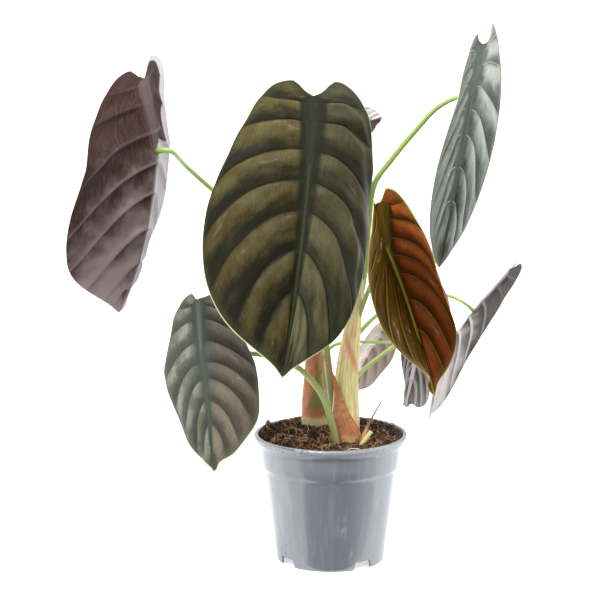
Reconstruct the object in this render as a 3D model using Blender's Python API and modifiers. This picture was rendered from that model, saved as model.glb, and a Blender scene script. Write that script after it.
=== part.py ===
# Potted alocasia: nine quilted shield-shaped leaves on two sheathed stems in a moulded nursery pot.
# Units are metres, +Z is up, and the origin is the centre of the pot's base on the ground.
import math

import bmesh
import bpy
import numpy as np
from mathutils import Vector

MM = 0.001
GAP = 0.3

# Pot, in millimetres
POT_TOP = 101.0
RIM_RADIUS = 60.0
RIM_INNER = 56.6
LIP_HEIGHT = 5.0
WALL = 1.3
STEP_HEIGHT = 75.0
FOOT_RADIUS = 42.0
FOOT_HEIGHT = 8.0
DISC_RADIUS = 20.0
FOOT_COUNT = 4
FOOT_GAP_DEG = 21.0
FOOT_TURN_DEG = -8.5
DRAIN_COUNT = 8
DRAIN_RADIUS = 3.5
DRAIN_CIRCLE = 32.0
TURN_STEPS = 48

# Soil, in millimetres
SOIL_TOP = 95.0
SOIL_MOUND = 2.0
SOIL_LUMP = 1.3

# Stems, in millimetres: centre line points and the radius at each
STEM_FOOT = 62.0
STEM_SIDES = 16
STEM_FRONT_ROUTE = ((11.5, -11, STEM_FOOT), (11, -11, 95), (11.5, -10.5, 118), (12, -10, 144), (15.5, -8.5, 177),
                    (21, -6.5, 207), (24.5, -5, 224))
STEM_FRONT_RADIUS = (10, 11.6, 11, 9.4, 7.4, 3.6, 0.9)
STEM_BACK_ROUTE = ((-11, 33, STEM_FOOT), (-11, 33, 98), (-11, 33, 120), (-10.5, 32, 150), (-9, 31, 180), (-7, 30, 204))
STEM_BACK_RADIUS = (9, 10.6, 10.4, 8.8, 5.6, 1.2)
SHEATH_RIDGE = 0.05

# Blades: thickness in millimetres, outline and veins in units of the length from navel to tip
BLADE_THICKNESS = 0.7
MARGIN_ANGLE = (0, 2, 8, 20, 32, 45, 60, 80, 100, 120, 140, 155, 166, 174, 180)
MARGIN_REACH = (1.0, 0.965, 0.905, 0.83, 0.735, 0.63, 0.53, 0.435, 0.39, 0.383, 0.412, 0.435, 0.425, 0.36, 0.34)
VEIN_ROOT = (-0.34, -0.30, -0.21, -0.08, 0.06, 0.21, 0.40, 0.60, 0.79, 1.0)
VEIN_ANGLE = (180, 142, 115, 77, 50, 31, 17, 8, 3, 0)
VEINS = len(VEIN_ROOT) - 1
RIB_SHARE = 0.12
FOLD_REACH = 0.04
PUFF = 0.024

# A leaf's own values. Navel and tip are places in millimetres, turn is in degrees about the long axis.
# Pairs hold the left half's and the right half's value, seen on the upper face with the tip down.
LEAF_DEFAULTS = dict(turn=0, fold=(0, 0), lobe_fold=(0, 0), tip_fold=(0, 0), curl=(0, 0), droop_tip=0, droop_lobe=0,
                     width=(1, 1), taper=(0, 0), lobe_width=(1, 1), lobe_length=(1, 1), sway=(0, 0), ruffle=0.012,
                     ruffle_phase=0.0, rows=3, columns=4)
LEAVES = {
    "main": dict(navel=(-17, -30, 314), tip=(-37, -92, 165), turn=5, fold=(0, -12), lobe_fold=(1, 11),
                 tip_fold=(-1, 10), curl=(-32, -56), droop_tip=15, droop_lobe=13, width=(1.0, 1.08),
                 taper=(-0.06, 0.24), lobe_width=(0.94, 1.07), lobe_length=(1.14, 1.28), sway=(0.02, -0.1),
                 ruffle=0.01, ruffle_phase=-0.38),
    "left": dict(navel=(-134, 1, 323), tip=(-168, 40, 189), turn=-127, fold=(46, 2), lobe_fold=(0, 13),
                 tip_fold=(-3, 30), curl=(-15, -9), droop_tip=-55, droop_lobe=-44, width=(1.14, 1.38),
                 taper=(-0.06, 0.25), lobe_width=(0.96, 0.68), lobe_length=(1.81, 1.19), sway=(0.32, -0.83),
                 ruffle=0.004, ruffle_phase=0.46),
    "tall": dict(navel=(105, -15, 365), tip=(82, -24, 236), turn=18, fold=(71, -65), lobe_fold=(-8, -19),
                 tip_fold=(-9, 10), curl=(-15, 36), droop_tip=-1, droop_lobe=-19, width=(1.03, 1.06),
                 taper=(-0.12, 0.29), lobe_width=(0.78, 1.52), lobe_length=(0.98, 0.97), sway=(0.01, -0.07),
                 ruffle=0.001, ruffle_phase=0.2),
    "copper": dict(navel=(41, -75, 259), tip=(79, -35, 139), turn=18, fold=(68, 27), lobe_fold=(13, -6),
                   tip_fold=(35, 4), curl=(-37, 98), droop_tip=-43, droop_lobe=15, width=(0.86, 0.96),
                   taper=(-0.29, 0.22), lobe_width=(2.0, 0.44), lobe_length=(1.13, 1.02), sway=(0.18, 0.13),
                   ruffle=-0.009, ruffle_phase=0.36),
    "low_left": dict(navel=(-99, -49, 174), tip=(-88.5, -95, 94), turn=-14, fold=(-23, -34), lobe_fold=(9, -17),
                     tip_fold=(-6, 8), curl=(-6, -19), droop_tip=9, droop_lobe=13, width=(1.09, 1.14),
                     taper=(0.38, 0.16), lobe_width=(0.61, 1.19), lobe_length=(1.59, 1.59), sway=(0.07, -0.06),
                     ruffle=0.025, ruffle_phase=0.43),
    "low_right": dict(navel=(114, 35, 191), tip=(79, 35, 104), turn=94, fold=(10, 25), tip_fold=(0, 3),
                      curl=(-5, -20), droop_tip=-35, width=(1.11, 1.1), taper=(-0.03, 0.05),
                      lobe_width=(0.86, 0.98), lobe_length=(1.36, 1.36), sway=(-0.03, -0.06), ruffle=0.003,
                      ruffle_phase=0.15),
    "drip": dict(navel=(77, 148, 148), tip=(62, 91, 101), turn=164, fold=(74, 56), tip_fold=(-15, 59), curl=(9, 7),
                 droop_tip=16, droop_lobe=12, rows=2, columns=3),
    "inner": dict(navel=(43, 97, 162), tip=(17, 83, 111), turn=235, fold=(4, -13), lobe_fold=(0, -10),
                  tip_fold=(-5, 0), curl=(-29, 0), droop_tip=30, droop_lobe=13, width=(1.1, 1), rows=2, columns=3),
    "behind": dict(navel=(16, 84, 331), tip=(42, 61, 342), turn=38, fold=(17, 16), tip_fold=(-8, -18), curl=(10, 5),
                   droop_tip=-3, width=(1, 0.86), rows=2, columns=3),
}

# Petioles: route from the foot towards the blade in millimetres, and the radius at the foot and at the blade.
# The last stretch, along the blade's own axis, is added from the leaf's navel.
PETIOLE_APPROACH = 12.0
PETIOLE_SIDES_LEVEL = 1
PETIOLES = {
    "main": dict(route=((9, -12, 100), (4.5, -9, 115), (1, -6, 132), (-1.5, -3, 150), (-4, 0, 172), (-10, 1, 215), (-17, -6, 270)),
                 radius=(3.8, 1.9)),
    "left": dict(route=((-10, 32, 152), (-16, 34, 200), (-42, 40, 246), (-92, 50, 285), (-112, 27, 307)), radius=(2.5, 1.8)),
    "tall": dict(route=((18, -7.5, 186), (26, 5, 229), (29, 15, 262), (34, 20, 295), (47, 19, 314), (65, 14, 337), (82, 5, 356.5)),
                 radius=(3.2, 1.8)),
    "copper": dict(route=((17, -8, 182), (27, -12, 212), (36, -26, 240)), radius=(2.0, 1.5)),
    "low_left": dict(route=((4.5, -26, 84), (3.5, -25.5, 101), (0, -25, 117), (-4, -23.5, 130), (-10, -21, 141),
                            (-28, -15, 158), (-60, -13, 167)), radius=(3.4, 1.6)),
    "low_right": dict(route=((15, -8.5, 172), (26, -3, 186), (48, 14, 200), (90, 42, 203)), radius=(1.8, 1.3)),
    "drip": dict(route=((12, -10, 138), (25, -1, 151), (49, 30, 163)), radius=(1.8, 1.3)),
    "inner": dict(route=((-10, 32, 142), (2, 48, 160)), radius=(1.6, 1.2)),
    "behind": dict(route=((-8.5, 31, 178), (-4, 44, 230), (6, 70, 287)), radius=(1.8, 1.2)),
}
IN_STEM_FRONT = ("main", "tall", "copper", "low_right", "drip")
IN_STEM_BACK = ("left", "inner", "behind")

# Papery scale leaves: stem, height range, the side they face and how far they reach round it, in degrees
CATAPHYLL_THICKNESS = 0.7
CATAPHYLLS = {
    "cataphyll_front": dict(stem="stem_front", low=97.6, high=170.0, facing=(-70, -150), reach=(88, 4), lift=17.0),
    "cataphyll_back": dict(stem="stem_back", low=100.2, high=172.0, facing=(-112, -128), reach=(80, 26), lift=2.5),
}

# Dried spike and cut stub, in millimetres
SPIKE_ROUTE = ((23.5, -21.5, 86), (24, -20.5, 98), (28.5, -16, 110), (34, -12, 119.5), (39.5, -9, 128.5))
SPIKE_RADIUS = (1.3, 1.3, 1.2, 0.7, 0.35)
STUB_ROUTE = ((20, -29.5, 84), (22, -28, 95), (31, -24, 108))
STUB_RADIUS = (2.0, 2.0, 1.7)


# Scene, collections and materials
def clear_scene():
    for item in list(bpy.data.objects):
        bpy.data.objects.remove(item, do_unlink=True)


def new_collection(name):
    collection = bpy.data.collections.new(name)
    bpy.context.scene.collection.children.link(collection)
    return collection


def new_material(name, colour, roughness):
    material = bpy.data.materials.new(name)
    material.use_nodes = True
    shader = material.node_tree.nodes["Principled BSDF"]
    shader.inputs["Base Color"].default_value = (*colour, 1.0)
    shader.inputs["Roughness"].default_value = roughness
    material.diffuse_color = (*colour, 1.0)
    return material


def object_from_mesh(name, mesh, material, collection):
    item = bpy.data.objects.new(name, mesh)
    collection.objects.link(item)
    if material is not None:
        mesh.materials.clear()
        mesh.materials.append(material)
    mesh.shade_smooth()
    mesh.set_sharp_from_angle(angle=math.radians(40))
    return item


def object_from_points(name, points_mm, faces, material, collection):
    mesh = bpy.data.meshes.new(name)
    mesh.from_pydata([tuple(point) for point in np.asarray(points_mm) * MM], [], faces)
    return object_from_mesh(name, mesh, material, collection)


def mark_cutter(item):
    item.hide_render = True
    item.display_type = "WIRE"


def cut_away(item, cutter, solver="EXACT"):
    modifier = item.modifiers.new("cut " + cutter.name, "BOOLEAN")
    modifier.operation = "DIFFERENCE"
    modifier.object = cutter
    modifier.solver = solver


# Curves through given points
def monotone_curve(x, xs, ys):
    """Smooth curve through the points (xs, ys) that never overshoots them: cubic pieces with limited slopes."""
    xs = np.asarray(xs, float)
    ys = np.asarray(ys, float)
    step = np.diff(xs)
    slope = np.diff(ys) / step
    before = slope[:-1]
    after = slope[1:]
    weight_before = 2 * step[1:] + step[:-1]
    weight_after = step[1:] + 2 * step[:-1]
    tangent = np.zeros(len(xs))
    same = before * after > 0
    total = (weight_before + weight_after)[same]
    tangent[1:-1][same] = total / (weight_before[same] / before[same] + weight_after[same] / after[same])
    tangent[0] = slope[0]
    tangent[-1] = slope[-1]
    x = np.clip(x, xs[0], xs[-1])
    i = np.clip(np.searchsorted(xs, x, side="right") - 1, 0, len(xs) - 2)
    u = (x - xs[i]) / step[i]
    value = (1 + 2 * u) * (1 - u) ** 2 * ys[i] + u * u * (3 - 2 * u) * ys[i + 1]
    return value + step[i] * (u * (1 - u) ** 2 * tangent[i] + u * u * (u - 1) * tangent[i + 1])


def smooth_route(points, count):
    """Even points along a smooth curve that passes through the given points."""
    points = np.asarray(points, float)
    chord = np.concatenate(([0], np.cumsum(np.linalg.norm(np.diff(points, axis=0), axis=1) ** 0.5)))
    tangent = np.gradient(points, chord, axis=0)
    fine = np.linspace(0, chord[-1], 400)
    i = np.clip(np.searchsorted(chord, fine, side="right") - 1, 0, len(points) - 2)
    step = (chord[i + 1] - chord[i])[:, None]
    u = ((fine - chord[i]) / (chord[i + 1] - chord[i]))[:, None]
    curve = (1 + 2 * u) * (1 - u) ** 2 * points[i] + u * u * (3 - 2 * u) * points[i + 1]
    curve = curve + step * (u * (1 - u) ** 2 * tangent[i] + u * u * (u - 1) * tangent[i + 1])
    length = np.concatenate(([0], np.cumsum(np.linalg.norm(np.diff(curve, axis=0), axis=1))))
    even = np.linspace(0, length[-1], count)
    return np.stack([np.interp(even, length, curve[:, k]) for k in range(3)], axis=1)


# Leaf blades
def flat_blade(leaf, s, t, half):
    """Flat half blade with the navel at 0, 0 and the tip at 0, 1.

    s counts the veins from the notch round to the tip and t runs from the midline to the margin. Each line of
    constant s leaves the midline at its root and bows out to its place on the margin, as a side vein does.
    """
    side = 0 if half < 0 else 1
    count = np.arange(VEINS + 1)
    root = monotone_curve(s, count, VEIN_ROOT)
    degrees = monotone_curve(s, count, VEIN_ANGLE)
    angle = np.radians(degrees)
    reach = monotone_curve(degrees, MARGIN_ANGLE, MARGIN_REACH)
    down = np.clip(np.cos(angle), 0, 1)
    up = np.clip(-np.cos(angle), 0, 1)
    edge_x = reach * np.sin(angle) * leaf["width"][side]
    edge_x = edge_x * (1 - leaf["taper"][side] * down) * (1 + (leaf["lobe_width"][side] - 1) * up)
    edge_y = reach * np.cos(angle)
    rib = np.where(root < 0, 0.02 - 0.11 * root, 0.018 * (1 - root) + 0.002) * np.clip(s / 0.8, 0, 1) ** 0.7
    rib = np.minimum(rib, edge_x * 0.6)
    u = np.clip((t - RIB_SHARE) / (1 - RIB_SHARE), 0, 1)
    bow_x = rib + (edge_x - rib) * 0.70
    bow_y = root + (edge_y - root) * 0.12
    x = (1 - u) ** 2 * rib + 2 * u * (1 - u) * bow_x + u * u * edge_x
    y = (1 - u) ** 2 * root + 2 * u * (1 - u) * bow_y + u * u * edge_y
    x = np.where(t < RIB_SHARE, rib * t / RIB_SHARE, x)
    y = np.where(t < RIB_SHARE, root, y)
    middle = min(leaf["lobe_length"])
    own = leaf["lobe_length"][side]
    stretch = middle + (own - middle) * np.clip(x / 0.15, 0, 1)
    return x, np.where(y < 0, y * stretch, y)


def quilting(s, t):
    """Height of the puffs between the side veins, nothing at the veins, the midrib and the margin."""
    u = np.clip((t - RIB_SHARE) / (1 - RIB_SHARE), 0, 1)
    between = np.sin(np.pi * (s - np.floor(s)) ** 0.7)
    ends = np.clip(s - 0.5, 0, 1) * np.clip((VEINS - s) / 1.5, 0, 1)
    return PUFF * between * np.clip(u / 0.12, 0, 1) * (1 - u ** 3) * ends


def average_to(value, turn):
    """Mean cosine and sine of turn(q) for q from nothing to value."""
    samples = (np.arange(16) + 0.5) / 16
    angle = turn(value[..., None] * samples)
    return np.cos(angle).mean(-1), np.sin(angle).mean(-1)


def shaped_blade(leaf, s, t, half):
    """Blade bent in its own frame: x across, y towards the tip, z out of the upper face."""
    side = 0 if half < 0 else 1
    x, y = flat_blade(leaf, s, t, half)
    z = quilting(s, t)
    fold = leaf["fold"][side] + leaf["lobe_fold"][side] * np.clip(-y / 0.4, 0, 1)
    fold = np.radians(fold + leaf["tip_fold"][side] * np.clip(y, 0, 1))
    curl = math.radians(leaf["curl"][side])

    def across(q):
        own = fold[..., None] if q.ndim > fold.ndim else fold
        return own * (1 - np.exp(-q / FOLD_REACH)) + curl * q / 0.45

    run, rise = average_to(x, across)
    slope = across(x)
    wide = (x * run - z * np.sin(slope)) * half
    high = x * rise + z * np.cos(slope)
    high = high + leaf["ruffle"] * t ** 3 * np.sin(math.pi * (s + leaf["ruffle_phase"] * 2 * half))
    wide = wide + np.where(y > 0, leaf["sway"][0] * y * (1 - y), leaf["sway"][1] * y * y)

    def along(q):
        return -np.radians(np.where(q > 0, leaf["droop_tip"] * q, leaf["droop_lobe"] * q / 0.4))

    run, rise = average_to(y, along)
    slope = along(y)
    return wide, y * run - high * np.sin(slope), y * rise + high * np.cos(slope)


def blade_frame(leaf):
    """Navel, length and the directions across, along and out of the upper face."""
    navel = np.array(leaf["navel"], float)
    chord = np.array(leaf["tip"], float) - navel
    length = np.linalg.norm(chord)
    along = chord / length
    front = np.array((0.0, -1.0, 0.0))
    front = front - front @ along * along
    front = front / np.linalg.norm(front)
    turn = math.radians(leaf["turn"])
    out = front * math.cos(turn) - np.cross(along, front) * math.sin(turn)
    return navel, length, np.cross(out, along), along, out


def blade_points(leaf, s, t, half):
    """Places of the middle surface in millimetres, scaled and turned so that the tip lies where it should."""
    navel, length, across, along, out = blade_frame(leaf)
    x, y, z = shaped_blade(leaf, s, t, half)
    tip_x, tip_y, tip_z = shaped_blade(leaf, np.array([float(VEINS)]), np.array([0.0]), 1)
    chord = math.hypot(tip_y[0], tip_z[0])
    cos = tip_y[0] / chord
    sin = tip_z[0] / chord
    y, z = (y * cos + z * sin) / chord, (z * cos - y * sin) / chord
    x = x / chord
    return navel + length * (x[..., None] * across + y[..., None] * along + z[..., None] * out)


def navel_normal(leaf):
    """Direction out of the upper face at the navel, from the points beside it on both halves."""
    s = np.array([3.3, 3.9])
    upper, lower = blade_points(leaf, s, np.zeros(2), 1)
    left, right = [blade_points(leaf, s, np.full(2, RIB_SHARE), half).mean(axis=0) for half in (-1, 1)]
    normal = np.cross(right - left, lower - upper)
    normal = normal / np.linalg.norm(normal)
    return normal * np.sign(normal @ blade_frame(leaf)[4])


def blade_mesh_points(leaf):
    """Grid of the middle surface: rows along the vein count, columns from the left margin to the right one."""
    rows = leaf["rows"] * VEINS
    s = np.arange(1, rows) / leaf["rows"]
    edge = np.linspace(RIB_SHARE, 1, leaf["columns"])
    t = np.concatenate((-edge[::-1], [0.0], edge))
    s_grid, t_grid = np.meshgrid(s, t, indexing="ij")
    left = blade_points(leaf, s_grid, np.abs(t_grid), -1)
    right = blade_points(leaf, s_grid, np.abs(t_grid), 1)
    grid = np.where((t_grid < 0)[..., None], left, right)
    notch = blade_points(leaf, np.array([0.0]), np.array([0.0]), 1)[0]
    tip = blade_points(leaf, np.array([float(VEINS)]), np.array([0.0]), 1)[0]
    return grid, notch, tip


def grid_normals(grid, notch, tip):
    """Unit normals of the grid from the differences of neighbouring points."""
    ends = np.ones((1, grid.shape[1], 1))
    tall = np.concatenate((notch * ends, grid, tip * ends), axis=0)
    down = tall[2:] - tall[:-2]
    side = np.gradient(grid, axis=1)
    normal = np.cross(side, down)
    return normal / np.linalg.norm(normal, axis=2, keepdims=True)


def make_blade(name, leaf, material, collection):
    """Closed thin blade: an upper and a lower sheet with the same triangles, joined round the margin."""
    grid, notch, tip = blade_mesh_points(leaf)
    normal = grid_normals(grid, notch, tip)
    out = blade_frame(leaf)[4]
    if np.sum(normal @ out) < 0:
        normal = -normal
    half = BLADE_THICKNESS / 2
    rows, columns = grid.shape[:2]
    sheet = rows * columns
    notch_normal = normal[0].mean(0) / np.linalg.norm(normal[0].mean(0))
    tip_normal = normal[-1].mean(0) / np.linalg.norm(normal[-1].mean(0))
    upper = (grid + normal * half).reshape(-1, 3)
    lower = (grid - normal * half).reshape(-1, 3)
    poles = [notch + notch_normal * half, notch - notch_normal * half, tip + tip_normal * half, tip - tip_normal * half]
    points = np.concatenate((upper, lower, np.array(poles)))
    notch_up, notch_down, tip_up, tip_down = range(2 * sheet, 2 * sheet + 4)
    faces = []
    for r in range(rows - 1):
        for c in range(columns - 1):
            a = r * columns + c
            b = a + 1
            d = a + columns
            e = d + 1
            faces += [(a, d, e), (a, e, b)] if c < columns // 2 else [(a, d, b), (b, d, e)]
    last = (rows - 1) * columns
    for c in range(columns - 1):
        faces.append((notch_up, c, c + 1))
        faces.append((tip_up, last + c + 1, last + c))
    under = {notch_up: notch_down, tip_up: tip_down}
    faces += [tuple(under.get(v, v + sheet) for v in reversed(face)) for face in faces]
    left_edge = [notch_up] + [r * columns for r in range(rows)] + [tip_up]
    right_edge = [notch_up] + [r * columns + columns - 1 for r in range(rows)] + [tip_up]
    for edge, turned in ((left_edge, False), (right_edge, True)):
        for a, b in zip(edge[:-1], edge[1:]):
            low_a = under.get(a, a + sheet)
            low_b = under.get(b, b + sheet)
            wall = [(a, low_a, low_b), (a, low_b, b)]
            faces += [tuple(reversed(face)) for face in wall] if turned else wall
    item = object_from_points(name, points, faces, material, collection)
    face_outwards(item.data)
    return item


def face_outwards(mesh):
    """Turns every face of a closed mesh outwards."""
    work = bmesh.new()
    work.from_mesh(mesh)
    bmesh.ops.recalc_face_normals(work, faces=work.faces)
    if work.calc_volume(signed=True) < 0:
        bmesh.ops.reverse_faces(work, faces=work.faces)
    work.to_mesh(mesh)
    work.free()


# Petioles, spike and stub
def curve_object(name, points_mm, radii_mm, level, collection):
    """Round tube along the points, with filled ends and the given radius at each point."""
    curve = bpy.data.curves.new(name, "CURVE")
    curve.dimensions = "3D"
    curve.bevel_depth = MM
    curve.bevel_resolution = level
    curve.use_fill_caps = True
    spline = curve.splines.new("POLY")
    spline.points.add(len(points_mm) - 1)
    for point, place, radius in zip(spline.points, points_mm, radii_mm):
        point.co = (*(Vector(place) * MM), 1.0)
        point.radius = radius
    item = bpy.data.objects.new(name, curve)
    collection.objects.link(item)
    return item


def tube_mesh(name, points_mm, radii_mm, level, material, collection):
    """The same tube as a closed mesh, so that it can be cut."""
    curve = curve_object(name + " curve", points_mm, radii_mm, level, collection)
    evaluated = curve.evaluated_get(bpy.context.evaluated_depsgraph_get())
    mesh = bpy.data.meshes.new_from_object(evaluated)
    mesh.name = name
    work = bmesh.new()
    work.from_mesh(mesh)
    bmesh.ops.remove_doubles(work, verts=work.verts, dist=1e-6)
    work.to_mesh(mesh)
    work.free()
    face_outwards(mesh)
    item = object_from_mesh(name, mesh, material, collection)
    item.matrix_world = curve.matrix_world
    bpy.data.objects.remove(curve, do_unlink=True)
    return item


def petiole_route(name):
    """Centre line of a petiole, from its foot to just under the blade's navel."""
    leaf = LEAF_DEFAULTS | LEAVES[name]
    navel = np.array(leaf["navel"], float)
    out = navel_normal(leaf)
    seat = navel - out * (BLADE_THICKNESS / 2 + 2 * GAP)
    approach = navel - out * PETIOLE_APPROACH
    points = list(PETIOLES[name]["route"]) + [approach, seat]
    return smooth_route(points, 5 + 3 * len(points) // 2)


def make_petiole(name, material, collection):
    points = petiole_route(name)
    foot, head = PETIOLES[name]["radius"]
    share = np.linspace(0, 1, len(points)) ** 0.7
    radii = foot + (head - foot) * share
    return tube_mesh("petiole_" + name, points, radii, PETIOLE_SIDES_LEVEL, material, collection)


# Stems and scale leaves
def stem_section(angle, height_share):
    """Radius factor of a stem: wrapped sheaths give it one soft ridge that winds slowly upwards."""
    turned = angle - 1.2 - 1.6 * height_share
    return 1 + SHEATH_RIDGE * np.exp(3.0 * (np.cos(turned) - 1)) - 0.4 * SHEATH_RIDGE


def stem_grid(route, radius, extra, count=15):
    """Rings of a stem in millimetres, grown by extra all round."""
    heights = [point[2] for point in route]
    z = np.linspace(heights[0], heights[-1], count)
    centre_x = monotone_curve(z, heights, [point[0] for point in route])
    centre_y = monotone_curve(z, heights, [point[1] for point in route])
    size = monotone_curve(z, heights, radius) + extra
    angle = np.linspace(0, 2 * math.pi, STEM_SIDES, endpoint=False)
    share = (z - z[0]) / (z[-1] - z[0])
    reach = size[:, None] * stem_section(angle[None, :], share[:, None])
    x = centre_x[:, None] + reach * np.cos(angle)
    y = centre_y[:, None] + reach * np.sin(angle)
    return np.stack((x, y, np.broadcast_to(z[:, None], x.shape)), axis=2)


def closed_rings(name, rings, material, collection):
    """Closed body from a stack of rings, with a fan at each end."""
    count, sides = rings.shape[:2]
    points = np.concatenate((rings.reshape(-1, 3), [rings[0].mean(0), rings[-1].mean(0)]))
    faces = []
    for r in range(count - 1):
        for c in range(sides):
            d = (c + 1) % sides
            faces.append((r * sides + c, r * sides + d, (r + 1) * sides + d, (r + 1) * sides + c))
    for c in range(sides):
        d = (c + 1) % sides
        faces.append((d, c, count * sides))
        faces.append(((count - 1) * sides + c, (count - 1) * sides + d, count * sides + 1))
    item = object_from_points(name, points, faces, material, collection)
    face_outwards(item.data)
    return item


STEMS = {"stem_front": (STEM_FRONT_ROUTE, STEM_FRONT_RADIUS), "stem_back": (STEM_BACK_ROUTE, STEM_BACK_RADIUS)}


def make_stem(name, extra, material, collection, label=""):
    route, radius = STEMS[name]
    rings = stem_grid(route, radius, extra)
    rings[0, :, 2] -= extra
    rings[-1, :, 2] += extra
    return closed_rings(name + label, rings, material, collection)


def cataphyll_sheet(values, across, up, layer):
    """Point of a scale leaf in millimetres: wrapped round its stem, narrowing upwards, its tip lifted clear."""
    route, radius = STEMS[values["stem"]]
    heights = [point[2] for point in route]
    z = values["low"] + (values["high"] - values["low"]) * up
    centre_x = monotone_curve(z, heights, [point[0] for point in route])
    centre_y = monotone_curve(z, heights, [point[1] for point in route])
    share = (z - heights[0]) / (heights[-1] - heights[0])
    facing = values["facing"][0] + (values["facing"][1] - values["facing"][0]) * up ** 0.6
    reach = values["reach"][1] + (values["reach"][0] - values["reach"][1]) * (1 - up) ** 2.4
    angle = np.radians(facing + reach * across)
    size = monotone_curve(z, heights, radius) + GAP + 0.2 + layer
    size = size * np.maximum(stem_section(angle, share), 1.0) + values["lift"] * np.clip((up - 0.45) / 0.55, 0, 1) ** 1.8
    return np.stack((centre_x + size * np.cos(angle), centre_y + size * np.sin(angle), z), axis=-1)


def make_cataphyll(name, values, material, collection):
    """Closed papery scale: inner and outer sheets a little apart, joined round the edge."""
    across = np.linspace(-1, 1, 9)
    up = np.linspace(0, 1, 11)
    across_grid, up_grid = np.meshgrid(across, up)
    inner = cataphyll_sheet(values, across_grid, up_grid, 0.0)
    outer = cataphyll_sheet(values, across_grid, up_grid, CATAPHYLL_THICKNESS)
    rows, columns = across_grid.shape
    sheet = rows * columns
    points = np.concatenate((inner.reshape(-1, 3), outer.reshape(-1, 3)))
    faces = []
    for r in range(rows - 1):
        for c in range(columns - 1):
            a = r * columns + c
            faces.append((a, a + 1, a + columns + 1))
            faces.append((a, a + columns + 1, a + columns))
    faces += [tuple(v + sheet for v in reversed(face)) for face in faces]
    rim = [c for c in range(columns)] + [r * columns + columns - 1 for r in range(1, rows)]
    rim += [(rows - 1) * columns + c for c in range(columns - 2, -1, -1)] + [r * columns for r in range(rows - 2, 0, -1)]
    for a, b in zip(rim, rim[1:] + rim[:1]):
        faces.append((a, b, b + sheet))
        faces.append((a, b + sheet, a + sheet))
    item = object_from_points(name, points, faces, material, collection)
    face_outwards(item.data)
    return item


# Pot and soil
def turned_object(name, profile_mm, material, collection):
    """Solid of revolution from a profile that starts and ends on the axis."""
    mesh = bpy.data.meshes.new(name)
    points = [(radius * MM, 0.0, height * MM) for radius, height in profile_mm]
    edges = [(k, k + 1) for k in range(len(points) - 1)]
    mesh.from_pydata(points, edges, [])
    item = bpy.data.objects.new(name, mesh)
    collection.objects.link(item)
    mesh.materials.append(material)
    screw = item.modifiers.new("turn", "SCREW")
    screw.steps = TURN_STEPS
    screw.render_steps = TURN_STEPS
    screw.use_merge_vertices = True
    screw.merge_threshold = 0.0001
    return item


def floor_profile(lift):
    """Inside of the pot's floor and wall, raised or drawn in by lift."""
    wall_foot = FOOT_RADIUS - WALL
    return [(0, WALL + lift), (DISC_RADIUS - 1 - lift, WALL + lift),
            (DISC_RADIUS + 3 - lift, FOOT_HEIGHT + WALL + lift), (wall_foot - 0.4 - lift, FOOT_HEIGHT + WALL + lift),
            (wall_foot + 0.6 - lift, FOOT_HEIGHT + WALL + 2), (45.7 - lift, 37), (49.7 - lift, 67),
            (51.1 - lift, STEP_HEIGHT - 0.6 + lift), (52.8 - lift, STEP_HEIGHT + 1.4 + lift)]


def pot_profile():
    inside = floor_profile(0.0) + [(53.9, 94.2), (55.6, 96.4), (RIM_INNER, 98.0), (RIM_INNER + 0.2, POT_TOP - 0.6)]
    lip_foot = POT_TOP - LIP_HEIGHT
    rim = [(RIM_INNER + 0.8, POT_TOP), (RIM_RADIUS - 0.9, POT_TOP), (RIM_RADIUS, POT_TOP - 0.8),
           (RIM_RADIUS, lip_foot + 0.8), (RIM_RADIUS - 0.7, lip_foot), (55.5, lip_foot - 0.6)]
    outside = [(55.0, 86), (54.2, STEP_HEIGHT + 2), (52.6, STEP_HEIGHT - 0.8), (51.0, 67), (47.0, 37),
               (FOOT_RADIUS + 0.9, FOOT_HEIGHT), (FOOT_RADIUS, 0)]
    under = [(FOOT_RADIUS - 1.6, 0), (FOOT_RADIUS - 1.8, FOOT_HEIGHT), (DISC_RADIUS + 4.2, FOOT_HEIGHT),
             (DISC_RADIUS, 0), (0, 0)]
    return inside + rim + outside + under


def make_foot_cutter(index, collection):
    """Rounded block that opens one gap in the foot ring."""
    turn = math.radians(FOOT_TURN_DEG + 360 / FOOT_COUNT * (index + 0.5) - 90)
    width = 2 * FOOT_RADIUS * math.sin(math.radians(FOOT_GAP_DEG / 2))
    mesh = bpy.data.meshes.new("foot gap")
    work = bmesh.new()
    bmesh.ops.create_cube(work, size=1.0)
    bmesh.ops.scale(work, vec=Vector((8, width, 2 * FOOT_HEIGHT - 1.2)) * MM, verts=work.verts)
    top_edges = [edge for edge in work.edges if all(v.co.z > 0 for v in edge.verts)
                 and abs(edge.verts[0].co.y - edge.verts[1].co.y) < 1e-6]
    bmesh.ops.bevel(work, geom=top_edges, offset=2.5 * MM, segments=3, affect="EDGES", profile=0.5)
    work.to_mesh(mesh)
    work.free()
    item = bpy.data.objects.new("foot gap %d" % index, mesh)
    collection.objects.link(item)
    item.location = Vector((math.cos(turn), math.sin(turn), 0)) * (FOOT_RADIUS - 0.8) * MM
    item.rotation_euler = (0, 0, turn)
    mark_cutter(item)
    return item


def make_drain_cutter(collection):
    """All the drain holes as one cutter."""
    mesh = bpy.data.meshes.new("drain holes")
    work = bmesh.new()
    for k in range(DRAIN_COUNT):
        turn = 2 * math.pi * k / DRAIN_COUNT
        made = bmesh.ops.create_cone(work, cap_ends=True, segments=12, radius1=DRAIN_RADIUS * MM,
                                     radius2=DRAIN_RADIUS * MM, depth=6 * MM)
        place = Vector((math.cos(turn) * DRAIN_CIRCLE, math.sin(turn) * DRAIN_CIRCLE, FOOT_HEIGHT + 0.7)) * MM
        bmesh.ops.translate(work, vec=place, verts=made["verts"])
    work.to_mesh(mesh)
    work.free()
    item = bpy.data.objects.new("drain holes", mesh)
    collection.objects.link(item)
    mark_cutter(item)
    return item


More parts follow.
